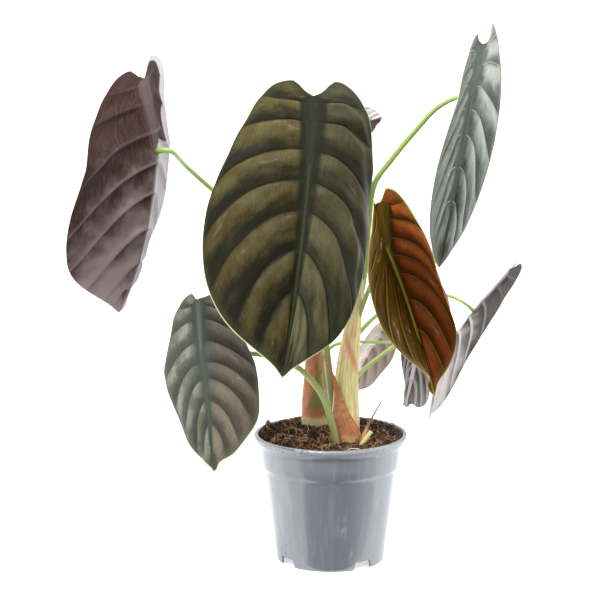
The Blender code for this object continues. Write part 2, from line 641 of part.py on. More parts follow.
def make_pot(material, collection, cutters):
    pot = turned_object("pot", pot_profile(), material, collection)
    for index in range(FOOT_COUNT):
        cut_away(pot, make_foot_cutter(index, cutters))
    cut_away(pot, make_drain_cutter(cutters))
    return pot


def soil_height(x, y):
    """Top of the soil in millimetres: a low mound with seeded lumps that calm down beside the stems and the wall."""
    rng = np.random.default_rng(7)
    lumps = np.zeros_like(x)
    for k in range(14):
        turn = rng.uniform(0, 2 * math.pi)
        pitch = rng.uniform(0.10, 0.34)
        phase = rng.uniform(0, 2 * math.pi)
        lumps = lumps + np.cos(pitch * (x * math.cos(turn) + y * math.sin(turn)) + phase)
    calm = np.ones_like(x)
    for (stem_x, stem_y), radius in (((11, -11), 11.6), ((-11, 33), 10.6)):
        near = np.hypot(x - stem_x, y - stem_y)
        calm = calm * np.clip((near - radius - 2) / 5, 0, 1)
    wall = np.clip((53.0 - np.hypot(x, y)) / 4, 0.15, 1)
    back = np.exp(-((x + 11) ** 2 + (y - 33) ** 2) / 400)
    return SOIL_TOP + SOIL_MOUND + 2.6 * back + SOIL_LUMP * 0.38 * lumps * calm * wall


def make_soil(material, collection, cutters):
    """Growing medium filling the pot, its top a disc of rings moved up and down by the height formula."""
    wall_top = 53.7 - GAP
    profile = floor_profile(GAP) + [(wall_top, SOIL_TOP - 1)]
    rings = (50.0, 43.0, 36.0, 29.0, 22.0, 15.0, 8.0)
    profile += [(radius, SOIL_TOP) for radius in rings] + [(0, SOIL_TOP)]
    guide = turned_object("soil guide", profile, material, cutters)
    evaluated = guide.evaluated_get(bpy.context.evaluated_depsgraph_get())
    mesh = bpy.data.meshes.new_from_object(evaluated)
    bpy.data.objects.remove(guide, do_unlink=True)
    mesh.name = "soil"
    for vertex in mesh.vertices:
        if vertex.co.z > (SOIL_TOP - 0.5) * MM:
            x = np.array([vertex.co.x / MM])
            y = np.array([vertex.co.y / MM])
            vertex.co.z = soil_height(x, y)[0] * MM
    face_outwards(mesh)
    return object_from_mesh("soil", mesh, material, collection)


def build():
    clear_scene()
    plant = new_collection("potted_alocasia")
    cutters = new_collection("cutters")
    plastic = new_material("grey plastic", (0.22, 0.25, 0.29), 0.42)
    medium = new_material("growing medium", (0.09, 0.035, 0.015), 0.95)
    sheath = new_material("green sheath", (0.48, 0.50, 0.14), 0.45)
    papery = new_material("papery scale", (0.52, 0.20, 0.08), 0.6)
    stalk = new_material("green stalk", (0.33, 0.48, 0.10), 0.4)
    dark_leaf = new_material("dark leaf", (0.075, 0.08, 0.045), 0.4)
    copper_leaf = new_material("copper leaf", (0.22, 0.06, 0.012), 0.25)

    make_pot(plastic, plant, cutters)
    soil = make_soil(medium, plant, cutters)
    stems = {}
    for name in STEMS:
        make_stem(name, 0.0, sheath, plant)
        stems[name] = make_stem(name, GAP, None, cutters, " clearance")
        mark_cutter(stems[name])
        cut_away(soil, stems[name])
    for name, values in CATAPHYLLS.items():
        make_cataphyll(name, values, papery, plant)
    for name, values in LEAVES.items():
        values.update({key: value for key, value in LEAF_DEFAULTS.items() if key not in values})
        make_blade("blade_" + name, values, copper_leaf if name == "copper" else dark_leaf, plant)
        petiole = make_petiole(name, stalk, plant)
        if name in IN_STEM_FRONT:
            cut_away(petiole, stems["stem_front"])
        if name in IN_STEM_BACK:
            cut_away(petiole, stems["stem_back"])
    for name, route, radius, material in (("dried_spike", SPIKE_ROUTE, SPIKE_RADIUS, papery),
                                          ("cut_stub", STUB_ROUTE, STUB_RADIUS, stalk)):
        tube_mesh(name, route, radius, PETIOLE_SIDES_LEVEL, material, plant)
        hole = tube_mesh(name + " hole", route, [r + 1.25 * GAP for r in radius], PETIOLE_SIDES_LEVEL, None, cutters)
        mark_cutter(hole)
        cut_away(soil, hole)
    foot_points = petiole_route("low_left")
    foot_radii = np.full(len(foot_points), PETIOLES["low_left"]["radius"][0] + 1.25 * GAP)
    hole = tube_mesh("petiole hole", foot_points, foot_radii, PETIOLE_SIDES_LEVEL, None, cutters)
    mark_cutter(hole)
    cut_away(soil, hole)


build()
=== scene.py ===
# %% [markdown]
# # A potted alocasia
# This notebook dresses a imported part: nine quilted leaves on slim stalks, two sheathed stems, coarse
# growing medium and a moulded nursery pot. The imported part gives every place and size, in metres with +Z
# up. Each cell adds one kind of piece, and the lengths inside the cells are millimetres until a mesh is
# made.

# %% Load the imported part
import math

import bpy
import numpy as np
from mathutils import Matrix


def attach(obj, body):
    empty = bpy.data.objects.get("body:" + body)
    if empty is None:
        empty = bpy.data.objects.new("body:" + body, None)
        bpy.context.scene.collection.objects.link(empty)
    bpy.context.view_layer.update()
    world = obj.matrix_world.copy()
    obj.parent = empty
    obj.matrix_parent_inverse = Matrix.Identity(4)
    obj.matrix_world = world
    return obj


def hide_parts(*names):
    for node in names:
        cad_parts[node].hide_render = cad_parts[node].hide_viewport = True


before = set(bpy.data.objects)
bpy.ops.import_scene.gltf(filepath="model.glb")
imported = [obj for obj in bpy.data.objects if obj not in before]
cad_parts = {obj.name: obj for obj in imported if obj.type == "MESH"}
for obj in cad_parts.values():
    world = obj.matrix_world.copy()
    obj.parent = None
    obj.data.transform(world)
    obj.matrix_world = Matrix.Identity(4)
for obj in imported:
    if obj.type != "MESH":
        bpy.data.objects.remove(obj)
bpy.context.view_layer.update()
MM = 0.001

# %% Objects in the scene
def put_in_scene(name, data):
    """New object for a mesh, a light or a camera, linked into the scene."""
    item = bpy.data.objects.new(name, data)
    bpy.context.scene.collection.objects.link(item)
    return item


# %% [markdown]
# ## Camera
# The plant stands about two metres from a long lens that looks slightly down, so the ellipse of the pot's
# rim is flat and the far leaves are hardly smaller than the near ones. A short lens close by would show
# the same plant with much stronger perspective.

# %% Camera
LENS_MM = 149.6
CAMERA_PLACE = (-0.024, -1.9, 0.571)
CAMERA_TILT = 79.15

camera_data = bpy.data.cameras.new("camera")
camera_data.lens = LENS_MM
camera_data.sensor_width = 36.0
camera = put_in_scene("camera", camera_data)
camera.location = CAMERA_PLACE
camera.rotation_euler = (math.radians(CAMERA_TILT), 0.0, 0.0)
bpy.context.scene.camera = camera
bpy.context.scene.view_settings.view_transform = "Standard"
print("camera height in mm:", round(camera.location.z / MM))

# %% [markdown]
# ## Small helpers for node trees
# A finish here is a Principled shader with a few pattern nodes in front of it. The nodes could be placed
# by hand in the shader editor. These helpers add and join them in one line each, which keeps a finish
# readable as a recipe: a ground colour, and one coat after another laid over a part of it.

# %% Node helpers
def join(tree, source, socket):
    """Puts a number, a colour or another node's output into a socket."""
    if isinstance(source, bpy.types.NodeSocket):
        tree.links.new(source, socket)
    elif hasattr(source, "__len__") and len(source) == 3 and socket.type == "RGBA":
        socket.default_value = (*source, 1.0)
    else:
        socket.default_value = source


def reckon(tree, operation, first, second=0.0, third=0.0):
    """One Math node: the result of an operation on up to three values."""
    node = tree.nodes.new("ShaderNodeMath")
    node.operation = operation
    for value, socket in zip((first, second, third), node.inputs):
        join(tree, value, socket)
    return node.outputs[0]


def product(tree, *factors):
    """All the factors multiplied together, by one Math node after another."""
    result = factors[0]
    for factor in factors[1:]:
        result = reckon(tree, "MULTIPLY", result, factor)
    return result


def axes_of(tree, vector):
    """The three parts of a vector."""
    node = tree.nodes.new("ShaderNodeSeparateXYZ")
    join(tree, vector, node.inputs[0])
    return tuple(node.outputs)


# %% Helpers for ranges and patterns
def fade(tree, value, start, end, low=0.0, high=1.0):
    """Goes smoothly from low to high while value goes from start to end, and stays level outside that."""
    node = tree.nodes.new("ShaderNodeMapRange")
    node.interpolation_type = "SMOOTHSTEP"
    for number, socket in zip((value, start, end, low, high), node.inputs):
        join(tree, number, socket)
    return node.outputs[0]


def mottle(tree, place, scale, detail, rough, stretch=None):
    """Cloudy pattern between 0 and 1. A large factor in stretch packs it close along that axis."""
    if stretch is not None:
        mapping = tree.nodes.new("ShaderNodeMapping")
        join(tree, place, mapping.inputs["Vector"])
        mapping.inputs["Scale"].default_value = stretch
        place = mapping.outputs[0]
    node = tree.nodes.new("ShaderNodeTexNoise")
    join(tree, place, node.inputs["Vector"])
    node.inputs["Scale"].default_value = scale
    node.inputs["Detail"].default_value = detail
    node.inputs["Roughness"].default_value = rough
    return node.outputs[0]


def stored(tree, name, output="Fac"):
    """A number or vector that the mesh keeps for each of its points."""
    node = tree.nodes.new("ShaderNodeAttribute")
    node.attribute_name = name
    return node.outputs[output]


def object_place(tree):
    """Place in metres on the part, the same for every piece."""
    return tree.nodes.new("ShaderNodeTexCoord").outputs["Object"]


# %% Helpers for colours
def blend_colours(tree, share, first, second):
    """One Mix node for colours: first where share is 0, second where it is 1."""
    node = tree.nodes.new("ShaderNodeMix")
    node.data_type = "RGBA"
    join(tree, share, node.inputs[0])
    join(tree, first, node.inputs[6])
    join(tree, second, node.inputs[7])
    return node.outputs[2]


def cover(tree, colour, coat, value, start, end, most=1.0):
    """Lays a coat over a colour: nothing of it where value is at start, and the share most at end."""
    return blend_colours(tree, fade(tree, value, start, end, 0.0, most), colour, coat)


def scaled(tree, colour, factor):
    """A colour made lighter or darker by a factor."""
    node = tree.nodes.new("ShaderNodeVectorMath")
    node.operation = "SCALE"
    join(tree, colour, node.inputs[0])
    join(tree, factor, node.inputs["Scale"])
    return node.outputs[0]


# %% The start and the end of a finish
def start_finish(name, roughness, gloss=0.5):
    """New material with its Principled shader, ready for a colour and a relief."""
    finish = bpy.data.materials.new(name)
    finish.use_nodes = True
    shader = finish.node_tree.nodes["Principled BSDF"]
    shader.inputs["Roughness"].default_value = roughness
    shader.inputs["Specular IOR Level"].default_value = gloss
    return finish, finish.node_tree, shader


def complete(tree, shader, colour, height, relief_mm):
    """Gives the shader its colour, and a fine relief that stands relief_mm high over its full range."""
    join(tree, colour, shader.inputs["Base Color"])
    node = tree.nodes.new("ShaderNodeBump")
    node.inputs["Strength"].default_value = 1.0
    node.inputs["Distance"].default_value = relief_mm * MM
    join(tree, height, node.inputs["Height"])
    tree.links.new(node.outputs["Normal"], shader.inputs["Normal"])


# %% [markdown]
# ## Studio light
# Product pictures of plants are taken in a white cove: tall soft boxes on both sides, light from above,
# white behind, and a darker room behind the camera. Four area lights would do, but a sky that changes
# with direction gives the same soft wrap with less grain. The dark sector in front is what draws the
# broad grey band down the middle of the glossy pot. It reaches from an azimuth of -1 to 1.7 radians round
# the camera's side, where 0 is the camera, is split by a thin lighter slit, and fades upwards. What the
# camera sees directly is plain white.

# %% Studio light
studio = bpy.data.worlds.new("studio")
studio.use_nodes = True
bpy.context.scene.world = studio
sky = studio.node_tree
right, back, up = axes_of(sky, sky.nodes.new("ShaderNodeTexCoord").outputs["Generated"])
azimuth = reckon(sky, "ARCTAN2", right, reckon(sky, "MULTIPLY", back, -1.0))
left_edge = fade(sky, azimuth, -1.00, -0.84)
right_edge = fade(sky, azimuth, 1.70, 0.45)
upper_edge = fade(sky, up, 0.70, 0.30)
from_slit = reckon(sky, "ABSOLUTE", reckon(sky, "SUBTRACT", azimuth, 0.04))
slit = fade(sky, from_slit, 0.02, 0.07, 0.75, 1.0)
lighter_left = fade(sky, azimuth, -0.90, 0.30, 0.80, 1.0)
lighter_middle = fade(sky, up, -0.46, -0.30, 1.0, 0.62)
dark_sector = product(sky, left_edge, right_edge, upper_edge, slit, lighter_left, lighter_middle)
side_light = fade(sky, back, 0.35, 0.80, 2.4, 1.3)
top_light = fade(sky, up, 0.1, 0.9, 1.0, 1.2)
below = fade(sky, up, -0.60, 0.0, 0.70, 1.0)
sky_light = product(sky, product(sky, side_light, top_light, below),
                    reckon(sky, "MULTIPLY_ADD", dark_sector, -0.80, 1.0))
seen = sky.nodes.new("ShaderNodeLightPath").outputs["Is Camera Ray"]
brightness = reckon(sky, "MAXIMUM", sky_light, reckon(sky, "MULTIPLY", seen, 1.2))
join(sky, brightness, sky.nodes["Background"].inputs["Strength"])
sky.nodes["Background"].inputs["Color"].default_value = (1.0, 1.0, 1.0, 1.0)
print("nodes in the sky:", len(sky.nodes))

# %% [markdown]
# ## Floor and key light
# The floor is a plain pale sheet that glows a little, as a lit cove does. Its front edge lies just in
# front of the pot, because the glossy pot would mirror a longer sheet. One soft box high on the left
# gives the leaves' puffs their bright upper edges.

# %% Floor and key light
FLOOR_FRONT = -0.043
FLOOR_SIDE = 4
FLOOR_BACK = 8
FLOOR_GLOW = 0.6

corners = [(-FLOOR_SIDE, FLOOR_FRONT, 0), (FLOOR_SIDE, FLOOR_FRONT, 0), (FLOOR_SIDE, FLOOR_BACK, 0),
           (-FLOOR_SIDE, FLOOR_BACK, 0)]
floor_mesh = bpy.data.meshes.new("floor")
floor_mesh.from_pydata(corners, [], [(0, 1, 2, 3)])
floor = put_in_scene("floor", floor_mesh)
floor_finish, floor_tree, floor_shader = start_finish("pale floor", 0.9)
floor_shader.inputs["Base Color"].default_value = (0.70, 0.70, 0.70, 1.0)
floor_shader.inputs["Emission Color"].default_value = (1.0, 1.0, 1.0, 1.0)
floor_shader.inputs["Emission Strength"].default_value = FLOOR_GLOW
floor_mesh.materials.append(floor_finish)

key_data = bpy.data.lights.new("soft box", "AREA")
key_data.shape = "RECTANGLE"
key_data.size = 0.5
key_data.size_y = 0.35
key_data.energy = 16.0
key = put_in_scene("soft box", key_data)
key.location = (-0.55, -1.0, 1.55)
key.rotation_euler = (math.radians(42), 0.0, math.radians(-28))
print("floor from", FLOOR_FRONT, "to", FLOOR_BACK, "m, soft box of", key_data.energy, "W")

# %% [markdown]
# ## Curves through given points
# A leaf's outline, a stalk's path and a stem's swelling are all known at a few places only. The monotone
# curve passes through them without bulging past any of them, which an ordinary spline would do.

# %% Smooth curves
def cubic(u, step, first, last, slope_first, slope_last):
    """Cubic from first to last with given slopes at both, while u goes from 0 to 1 over a length step."""
    value = (1 + 2 * u) * (1 - u) ** 2 * first + u * u * (3 - 2 * u) * last
    return value + step * (u * (1 - u) ** 2 * slope_first + u * u * (u - 1) * slope_last)


def stretch_of(x, xs):
    """Number of the stretch between neighbouring xs in which each x lies."""
    return np.clip(np.searchsorted(xs, x, side="right") - 1, 0, len(xs) - 2)


def monotone_curve(x, xs, ys):
    """Smooth curve through the points (xs, ys) that never overshoots them: cubics with limited slopes."""
    xs = np.asarray(xs, float)
    ys = np.asarray(ys, float)
    step = np.diff(xs)
    slope = np.diff(ys) / step
    before = slope[:-1]
    after = slope[1:]
    weight_before = 2 * step[1:] + step[:-1]
    weight_after = step[1:] + 2 * step[:-1]
    tangent = np.zeros(len(xs))
    same = before * after > 0
    total = (weight_before + weight_after)[same]
    tangent[1:-1][same] = total / (weight_before[same] / before[same] + weight_after[same] / after[same])
    tangent[0] = slope[0]
    tangent[-1] = slope[-1]
    x = np.clip(x, xs[0], xs[-1])
    i = stretch_of(x, xs)
    return cubic((x - xs[i]) / step[i], step[i], ys[i], ys[i + 1], tangent[i], tangent[i + 1])


def travelled(route, power=1.0):
    """Distance gone at each point of a route, with every step raised to a power first."""
    return np.concatenate(([0], np.cumsum(np.linalg.norm(np.diff(route, axis=0), axis=1) ** power)))


def smooth_route(points, count):
    """Even points along a smooth curve that passes through the given points."""
    points = np.asarray(points, float)
    chord = travelled(points, 0.5)
    tangent = np.gradient(points, chord, axis=0)
    fine = np.linspace(0, chord[-1], 600)
    i = stretch_of(fine, chord)
    step = (chord[i + 1] - chord[i])[:, None]
    u = (fine - chord[i])[:, None] / step
    curve = cubic(u, step, points[i], points[i + 1], tangent[i], tangent[i + 1])
    length = travelled(curve)
    even = np.linspace(0, length[-1], count)
    return np.stack([np.interp(even, length, curve[:, k]) for k in range(3)], axis=1)


# %% [markdown]
# ## One way to make every closed body
# A leaf, a stalk, a stem and a pot can all be seen as a stack of rings with a pole at each end. For a
# leaf, one ring runs across the upper face from margin to margin and back across the lower face. So one
# helper joins neighbouring rings with quads and closes both ends with a fan, and no shape needs its faces
# listed.

# %% Rings to a closed body
def unit(vectors):
    """The same directions with length 1."""
    return vectors / np.maximum(np.linalg.norm(vectors, axis=-1, keepdims=True), 1e-9)


def round_axis(radius, angle, height, centre_x=0.0, centre_y=0.0):
    """Points at the given radius, angle and height round an upright axis."""
    x = centre_x + radius * np.cos(angle)
    y = centre_y + radius * np.sin(angle)
    return np.stack(np.broadcast_arrays(x, y, height), axis=-1)


def there_and_back(values):
    """Rows that run across one face and then back across the other one."""
    return np.concatenate((values, values[:, ::-1]), axis=1)


def ring_faces(count, sides):
    """Quads between neighbouring rings and a fan at each end, all as rows of point numbers."""
    ring = np.arange(count - 1)[:, None] * sides
    side = np.arange(sides)[None, :]
    after = (side + 1) % sides
    corners = (ring + side, ring + after, ring + sides + after, ring + sides + side)
    quads = np.stack(corners, axis=-1).reshape(-1, 4)
    side = side[0]
    after = after[0]
    last = (count - 1) * sides
    start = np.stack((after, side, np.full(sides, count * sides)), axis=-1)
    end = np.stack((last + side, last + after, np.full(sides, count * sides + 1)), axis=-1)
    return quads, np.concatenate((start, end))


def enclosed_volume(points, quads, fans):
    """Volume inside the faces, from pyramids between triangles and the origin; negative if inside out."""
    triangles = np.concatenate((quads[:, :3], quads[:, [0, 2, 3]], fans))
    a, b, c = (points[triangles[:, k]] for k in range(3))
    return np.einsum("ij,ij->i", a, np.cross(b, c)).sum() / 6


# %% From points and faces to a piece of the part
def store(mesh, name, values):
    """Keeps one number or one vector for each point of the mesh."""
    values = np.asarray(values, np.float32)
    kind, field = ("FLOAT", "value") if values.ndim == 1 else ("FLOAT_VECTOR", "vector")
    mesh.attributes.new(name, kind, "POINT").data.foreach_set(field, values.ravel())


def closed_mesh(name, points, quads, others):
    """Mesh from points in millimetres, quads and other faces."""
    mesh = bpy.data.meshes.new(name)
    mesh.from_pydata((points * MM).tolist(), [], quads.tolist() + others.tolist())
    return mesh


def ring_mesh(name, rings, poles, values, face_kind=None):
    """Mesh from rings in millimetres and two poles, with the given values kept for each point."""
    count, sides = rings.shape[:2]
    points = np.concatenate((rings.reshape(-1, 3), np.asarray(poles, float)))
    quads, fans = ring_faces(count, sides)
    if enclosed_volume(points, quads, fans) < 0:
        quads = quads[:, ::-1]
        fans = fans[:, ::-1]
    mesh = closed_mesh(name, points, quads, fans)
    for label, kept in values.items():
        flat = kept.reshape(count * sides, *kept.shape[2:])
        store(mesh, label, np.concatenate((flat, flat[:1], flat[-1:])))
    if face_kind is not None:
        kinds = np.concatenate((np.tile(face_kind, count - 1), face_kind, face_kind))
        mesh.polygons.foreach_set("material_index", kinds.astype(np.int32))
    return mesh


def add_piece(mesh, finishes, node=None):
    """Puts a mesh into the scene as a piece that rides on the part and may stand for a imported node."""
    mesh.validate()
    mesh.shade_smooth()
    piece = put_in_scene(mesh.name, mesh)
    for finish in finishes:
        mesh.materials.append(finish)
    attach(piece, "root")
    if node is not None:
        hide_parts(node)
    print(piece.name, "faces:", len(mesh.polygons))


# %% [markdown]
# ## The shape of a leaf
# Side veins leave the midrib, bow outwards and end at the margin, and the blade puffs up between them
# like a quilt. The two parameters follow that growth: s counts the veins from the notch round to the tip,
# and t runs from the midline to the margin. The same numbers then place both the puffs and the colours,
# so they always agree. Drawing the outline and adding the veins as a texture would be quicker, but the
# two would never quite meet.
#
# The outline is a reach from the navel at angles from the tip. Each vein has the place of its root on the
# midrib, counted in leaf lengths from the navel, and the angle at which it meets the outline.

# %% Outline and veins
VEINS = 9
STRONG_VEINS = 7
RIB_SHARE = 0.12
BOW_OUT = 0.70
BOW_ALONG = 0.12
VEIN_ROOT = (-0.34, -0.30, -0.21, -0.08, 0.06, 0.21, 0.40, 0.60, 0.79, 1.0)
VEIN_ANGLE = (180, 142, 115, 77, 50, 31, 17, 8, 3, 0)
MARGIN_ANGLE = (0, 2, 8, 20, 32, 45, 60, 80, 100, 120, 140, 155, 166, 174, 180)
MARGIN_REACH = (1.0, 0.965, 0.905, 0.83, 0.735, 0.63, 0.53, 0.435, 0.39, 0.383, 0.412, 0.435, 0.425, 0.36,
                0.34)


def vein_root(s):
    """Place on the midrib where the vein of each s starts."""
    return monotone_curve(s, np.arange(VEINS + 1), VEIN_ROOT)


def past_rib(t):
    """Share of the way from the edge of the smooth rib to the margin."""
    return np.clip((t - RIB_SHARE) / (1 - RIB_SHARE), 0, 1)


def rib_width(root, s):
    """Half the smooth band along the midrib: narrow below the navel, a widening channel above it."""
    return np.where(root < 0, 0.02 - 0.11 * root, 0.018 * (1 - root) + 0.002) * np.clip(s / 0.8, 0, 1) ** 0.7


def flat_blade(leaf, s, t, side):
    """Flat half blade, navel at 0, 0 and tip at 0, 1: each vein is a bow from its root to the margin."""
    root = vein_root(s)
    degrees = monotone_curve(s, np.arange(VEINS + 1), VEIN_ANGLE)
    angle = np.radians(degrees)
    reach = monotone_curve(degrees, MARGIN_ANGLE, MARGIN_REACH)
    down = np.clip(np.cos(angle), 0, 1)
    up = np.clip(-np.cos(angle), 0, 1)
    edge_x = reach * np.sin(angle) * leaf["width"][side]
    edge_x = edge_x * (1 - leaf["taper"][side] * down) * (1 + (leaf["lobe_width"][side] - 1) * up)
    edge_y = reach * np.cos(angle)
    rib = np.minimum(rib_width(root, s), edge_x * 0.6)
    u = past_rib(t)
    bow_x = rib + (edge_x - rib) * BOW_OUT
    bow_y = root + (edge_y - root) * BOW_ALONG
    x = (1 - u) ** 2 * rib + 2 * u * (1 - u) * bow_x + u * u * edge_x
    y = (1 - u) ** 2 * root + 2 * u * (1 - u) * bow_y + u * u * edge_y
    x = np.where(t < RIB_SHARE, rib * t / RIB_SHARE, x)
    y = np.where(t < RIB_SHARE, root, y)
    shorter = min(leaf["lobe_length"])
    stretch = shorter + (leaf["lobe_length"][side] - shorter) * np.clip(x / 0.15, 0, 1)
    return x, np.where(y < 0, y * stretch, y)


# %% [markdown]
# ## Puffs between the veins
# The blade rises between two veins and sinks to the vein itself, and small irregular humps lie over that.
# The light colour of the upper face follows the same humps; it is partly the leaf's own lighter puffs,
# partly painted light on them, with painted shade in the grooves. Sculpting each puff by hand would look
# freer, but a formula of s and t gives all nine leaves their quilt.

# %% Puffs between the veins
def across_gap(s):
    """Share of the way from one strong vein to the next; the last two gaps before the tip count as one."""
    return np.where(s > STRONG_VEINS, (s - STRONG_VEINS) / (VEINS - STRONG_VEINS), s - np.floor(s))


def puff_height(s, t):
    """Height of the puffs: a rounded hump between two veins that dies away at veins, midrib and margin."""
    u = past_rib(t)
    between = np.sin(np.pi * across_gap(s) ** 0.6)
    ends = np.clip(s - 0.5, 0, 1) * np.clip((VEINS - s) / 1.5, 0, 1)
    return between * np.clip(u / 0.12, 0, 1) * (1 - u ** 3) * ends


def crumple(s, t):
    """Irregular small humps and hollows between the veins: seeded waves that die away where the puffs do."""
    rng = np.random.default_rng(5)
    waves = np.zeros_like(s + t)
    for _ in range(12):
        phase = rng.uniform(2, 9) * s + rng.uniform(-14, 14) * t + rng.uniform(0, 2 * math.pi)
        waves = waves + np.cos(phase)
    return 0.2 * waves * np.sqrt(np.maximum(puff_height(s, t), 0))


def puff_tone_and_sheen(s, t):
    """Share of the light colour, partly painted light: full on the humps between veins, nothing in the
    grooves and at margins.
    """
    u = past_rib(t)
    hump = np.sin(np.pi * across_gap(s) ** 0.5) ** 1.35
    ends = np.clip(s / 0.5, 0, 1) * np.clip((VEINS - s) / 1.0, 0.3, 1)
    return hump * np.clip(u / 0.05, 0, 1) * (1 - 0.55 * u ** 6) * ends


# %% [markdown]
# ## Folding, curling and drooping
# A leaf grows flat and then bends without stretching, like a sheet of paper. So the flat blade is laid
# along a bent line twice, first from the midrib outwards and then from the navel to the tip and to the
# lobes. An armature or a lattice could bend it too, but would stretch it.

# %% Folding, curling and drooping
PUFF = 0.024
FOLD_REACH = 0.04
HALF_WIDTH = 0.45
LOBE = 0.4


def average_to(value, turn):
    """Mean cosine and sine of turn(q) for q from nothing to value, which is how a bent strip lays out."""
    samples = (np.arange(16) + 0.5) / 16
    angle = turn(value[..., None] * samples)
    return np.cos(angle).mean(-1), np.sin(angle).mean(-1)


def shaped_blade(leaf, s, t, half):
    """Blade bent in its own frame: x across, y towards the tip, z out of the upper face.

    Each half folds up along the midrib, curls across its width, and the whole droops along its length.
    """
    side = 0 if half < 0 else 1
    x, y = flat_blade(leaf, s, t, side)
    z = PUFF * (leaf["puff"][side] * puff_height(s, t) + leaf["crumple"][side] * crumple(s, t))
    fold = leaf["fold"][side] + leaf["lobe_fold"][side] * np.clip(-y / LOBE, 0, 1)
    fold = np.radians(fold + leaf["tip_fold"][side] * np.clip(y, 0, 1))
    curl = math.radians(leaf["curl"][side])

    def across(q):
        own = fold[..., None] if q.ndim > fold.ndim else fold
        return own * (1 - np.exp(-q / FOLD_REACH)) + curl * q / HALF_WIDTH

    run, rise = average_to(x, across)
    slope = across(x)
    wide = (x * run - z * np.sin(slope)) * half
    high = x * rise + z * np.cos(slope)
    high = high + leaf["ruffle"] * t ** 3 * np.sin(math.pi * (s + leaf["ruffle_phase"] * 2 * half))
    wide = wide + np.where(y > 0, leaf["sway"][0] * y * (1 - y), leaf["sway"][1] * y * y)

    def along(q):
        return -np.radians(np.where(q > 0, leaf["droop_tip"] * q, leaf["droop_lobe"] * q / LOBE))

    run, rise = average_to(y, along)
    slope = along(y)
    return wide, y * run - high * np.sin(slope), y * rise + high * np.cos(slope)


# %% From the leaf's own frame into the plant
def blade_frame(leaf):
    """Navel, length and the directions across, along and out of the upper face."""
    navel = np.array(leaf["navel"], float)
    chord = np.array(leaf["tip"], float) - navel
    along = unit(chord)
    front = np.array((0.0, -1.0, 0.0))
    front = unit(front - front @ along * along)
    turn = math.radians(leaf["turn"])
    out = front * math.cos(turn) - np.cross(along, front) * math.sin(turn)
    return navel, np.linalg.norm(chord), np.cross(out, along), along, out


def blade_points(leaf, s, t, half):
    """Places of the middle surface in millimetres, scaled and turned so that the tip lies in its place."""
    navel, length, across, along, out = blade_frame(leaf)
    x, y, z = shaped_blade(leaf, s, t, half)
    tip_x, tip_y, tip_z = shaped_blade(leaf, np.array([float(VEINS)]), np.array([0.0]), 1)
    chord = math.hypot(tip_y[0], tip_z[0])
    cos = tip_y[0] / chord
    sin = tip_z[0] / chord
    y, z = (y * cos + z * sin) / chord, (z * cos - y * sin) / chord
    x = x / chord
    return navel + length * (x[..., None] * across + y[..., None] * along + z[..., None] * out)


def navel_normal(leaf):
    """Direction out of the upper face at the navel, from the points beside it on both halves."""
    s = np.array([3.3, 3.9])
    upper, lower = blade_points(leaf, s, np.zeros(2), 1)
    left, right = [blade_points(leaf, s, np.full(2, RIB_SHARE), half).mean(axis=0) for half in (-1, 1)]
    normal = unit(np.cross(right - left, lower - upper))
    return normal * np.sign(normal @ blade_frame(leaf)[4])


# %% [markdown]
# ## Measures that the leaf finish needs
# The finish paints a line of one width along every vein, so it needs the distance to the nearest vein, to
# the midrib and to the margin, in millimetres. They are worked out on the flat leaf, from how far apart
# neighbouring grid lines lie, and kept in the mesh. A painted texture could hold the same, but it would
# blur at the veins.

# %% Distances on the flat leaf
def leaf_measures(leaf, s, t, side):
    """Millimetres to the nearest side vein, to the midrib or basal rib and to the margin, and the root."""
    length = blade_frame(leaf)[1]
    x, y = flat_blade(leaf, s, t, side)
    step = 0.01
    x_on, y_on = flat_blade(leaf, np.clip(s + step, 0, VEINS), t, side)
    t_on = np.clip(t + step, 0, 1)
    x_out, y_out = flat_blade(leaf, s, np.where(t_on > t, t_on, t - step), side)
    across_x, across_y = x_out - x, y_out - y
    size = np.maximum(np.hypot(across_x, across_y), 1e-6)
    gap = np.abs((x_on - x) * across_y - (y_on - y) * across_x) / size / step
    nearest = np.clip(np.round(s), 1, STRONG_VEINS)
    to_vein = np.abs(s - nearest) * gap * length
    root = vein_root(s)
    basal = np.where(root < 0, rib_width(root, s) * (1 - np.exp(np.minimum(root, 0) / 0.05)), 0.0)
    to_rib = np.abs(x - basal) * length
    edge_x, edge_y = flat_blade(leaf, s, np.ones_like(t), side)
    to_margin = np.hypot(edge_x - x, edge_y - y) * length
    return to_vein, to_rib, to_margin, root


# %% One leaf as rings
EDGE_THICKNESS = 0.12
MORE_INSIDE = 0.23
EDGE_WIDTH = 1.5
VEIN_END = 12.0
CREASE_DEPTH = 0.20
CREASE_WIDTH = 0.8
VEIN_RIDGE = 1.2
VEIN_WIDTH = 1.3
RIB_RIDGE = 1.25
RIB_WIDTH = 1.4


def swell(distance, width):
    """Rounded bump that is 1 at a vein and dies away over the given width."""
    return np.exp(-(distance / width) ** 2)


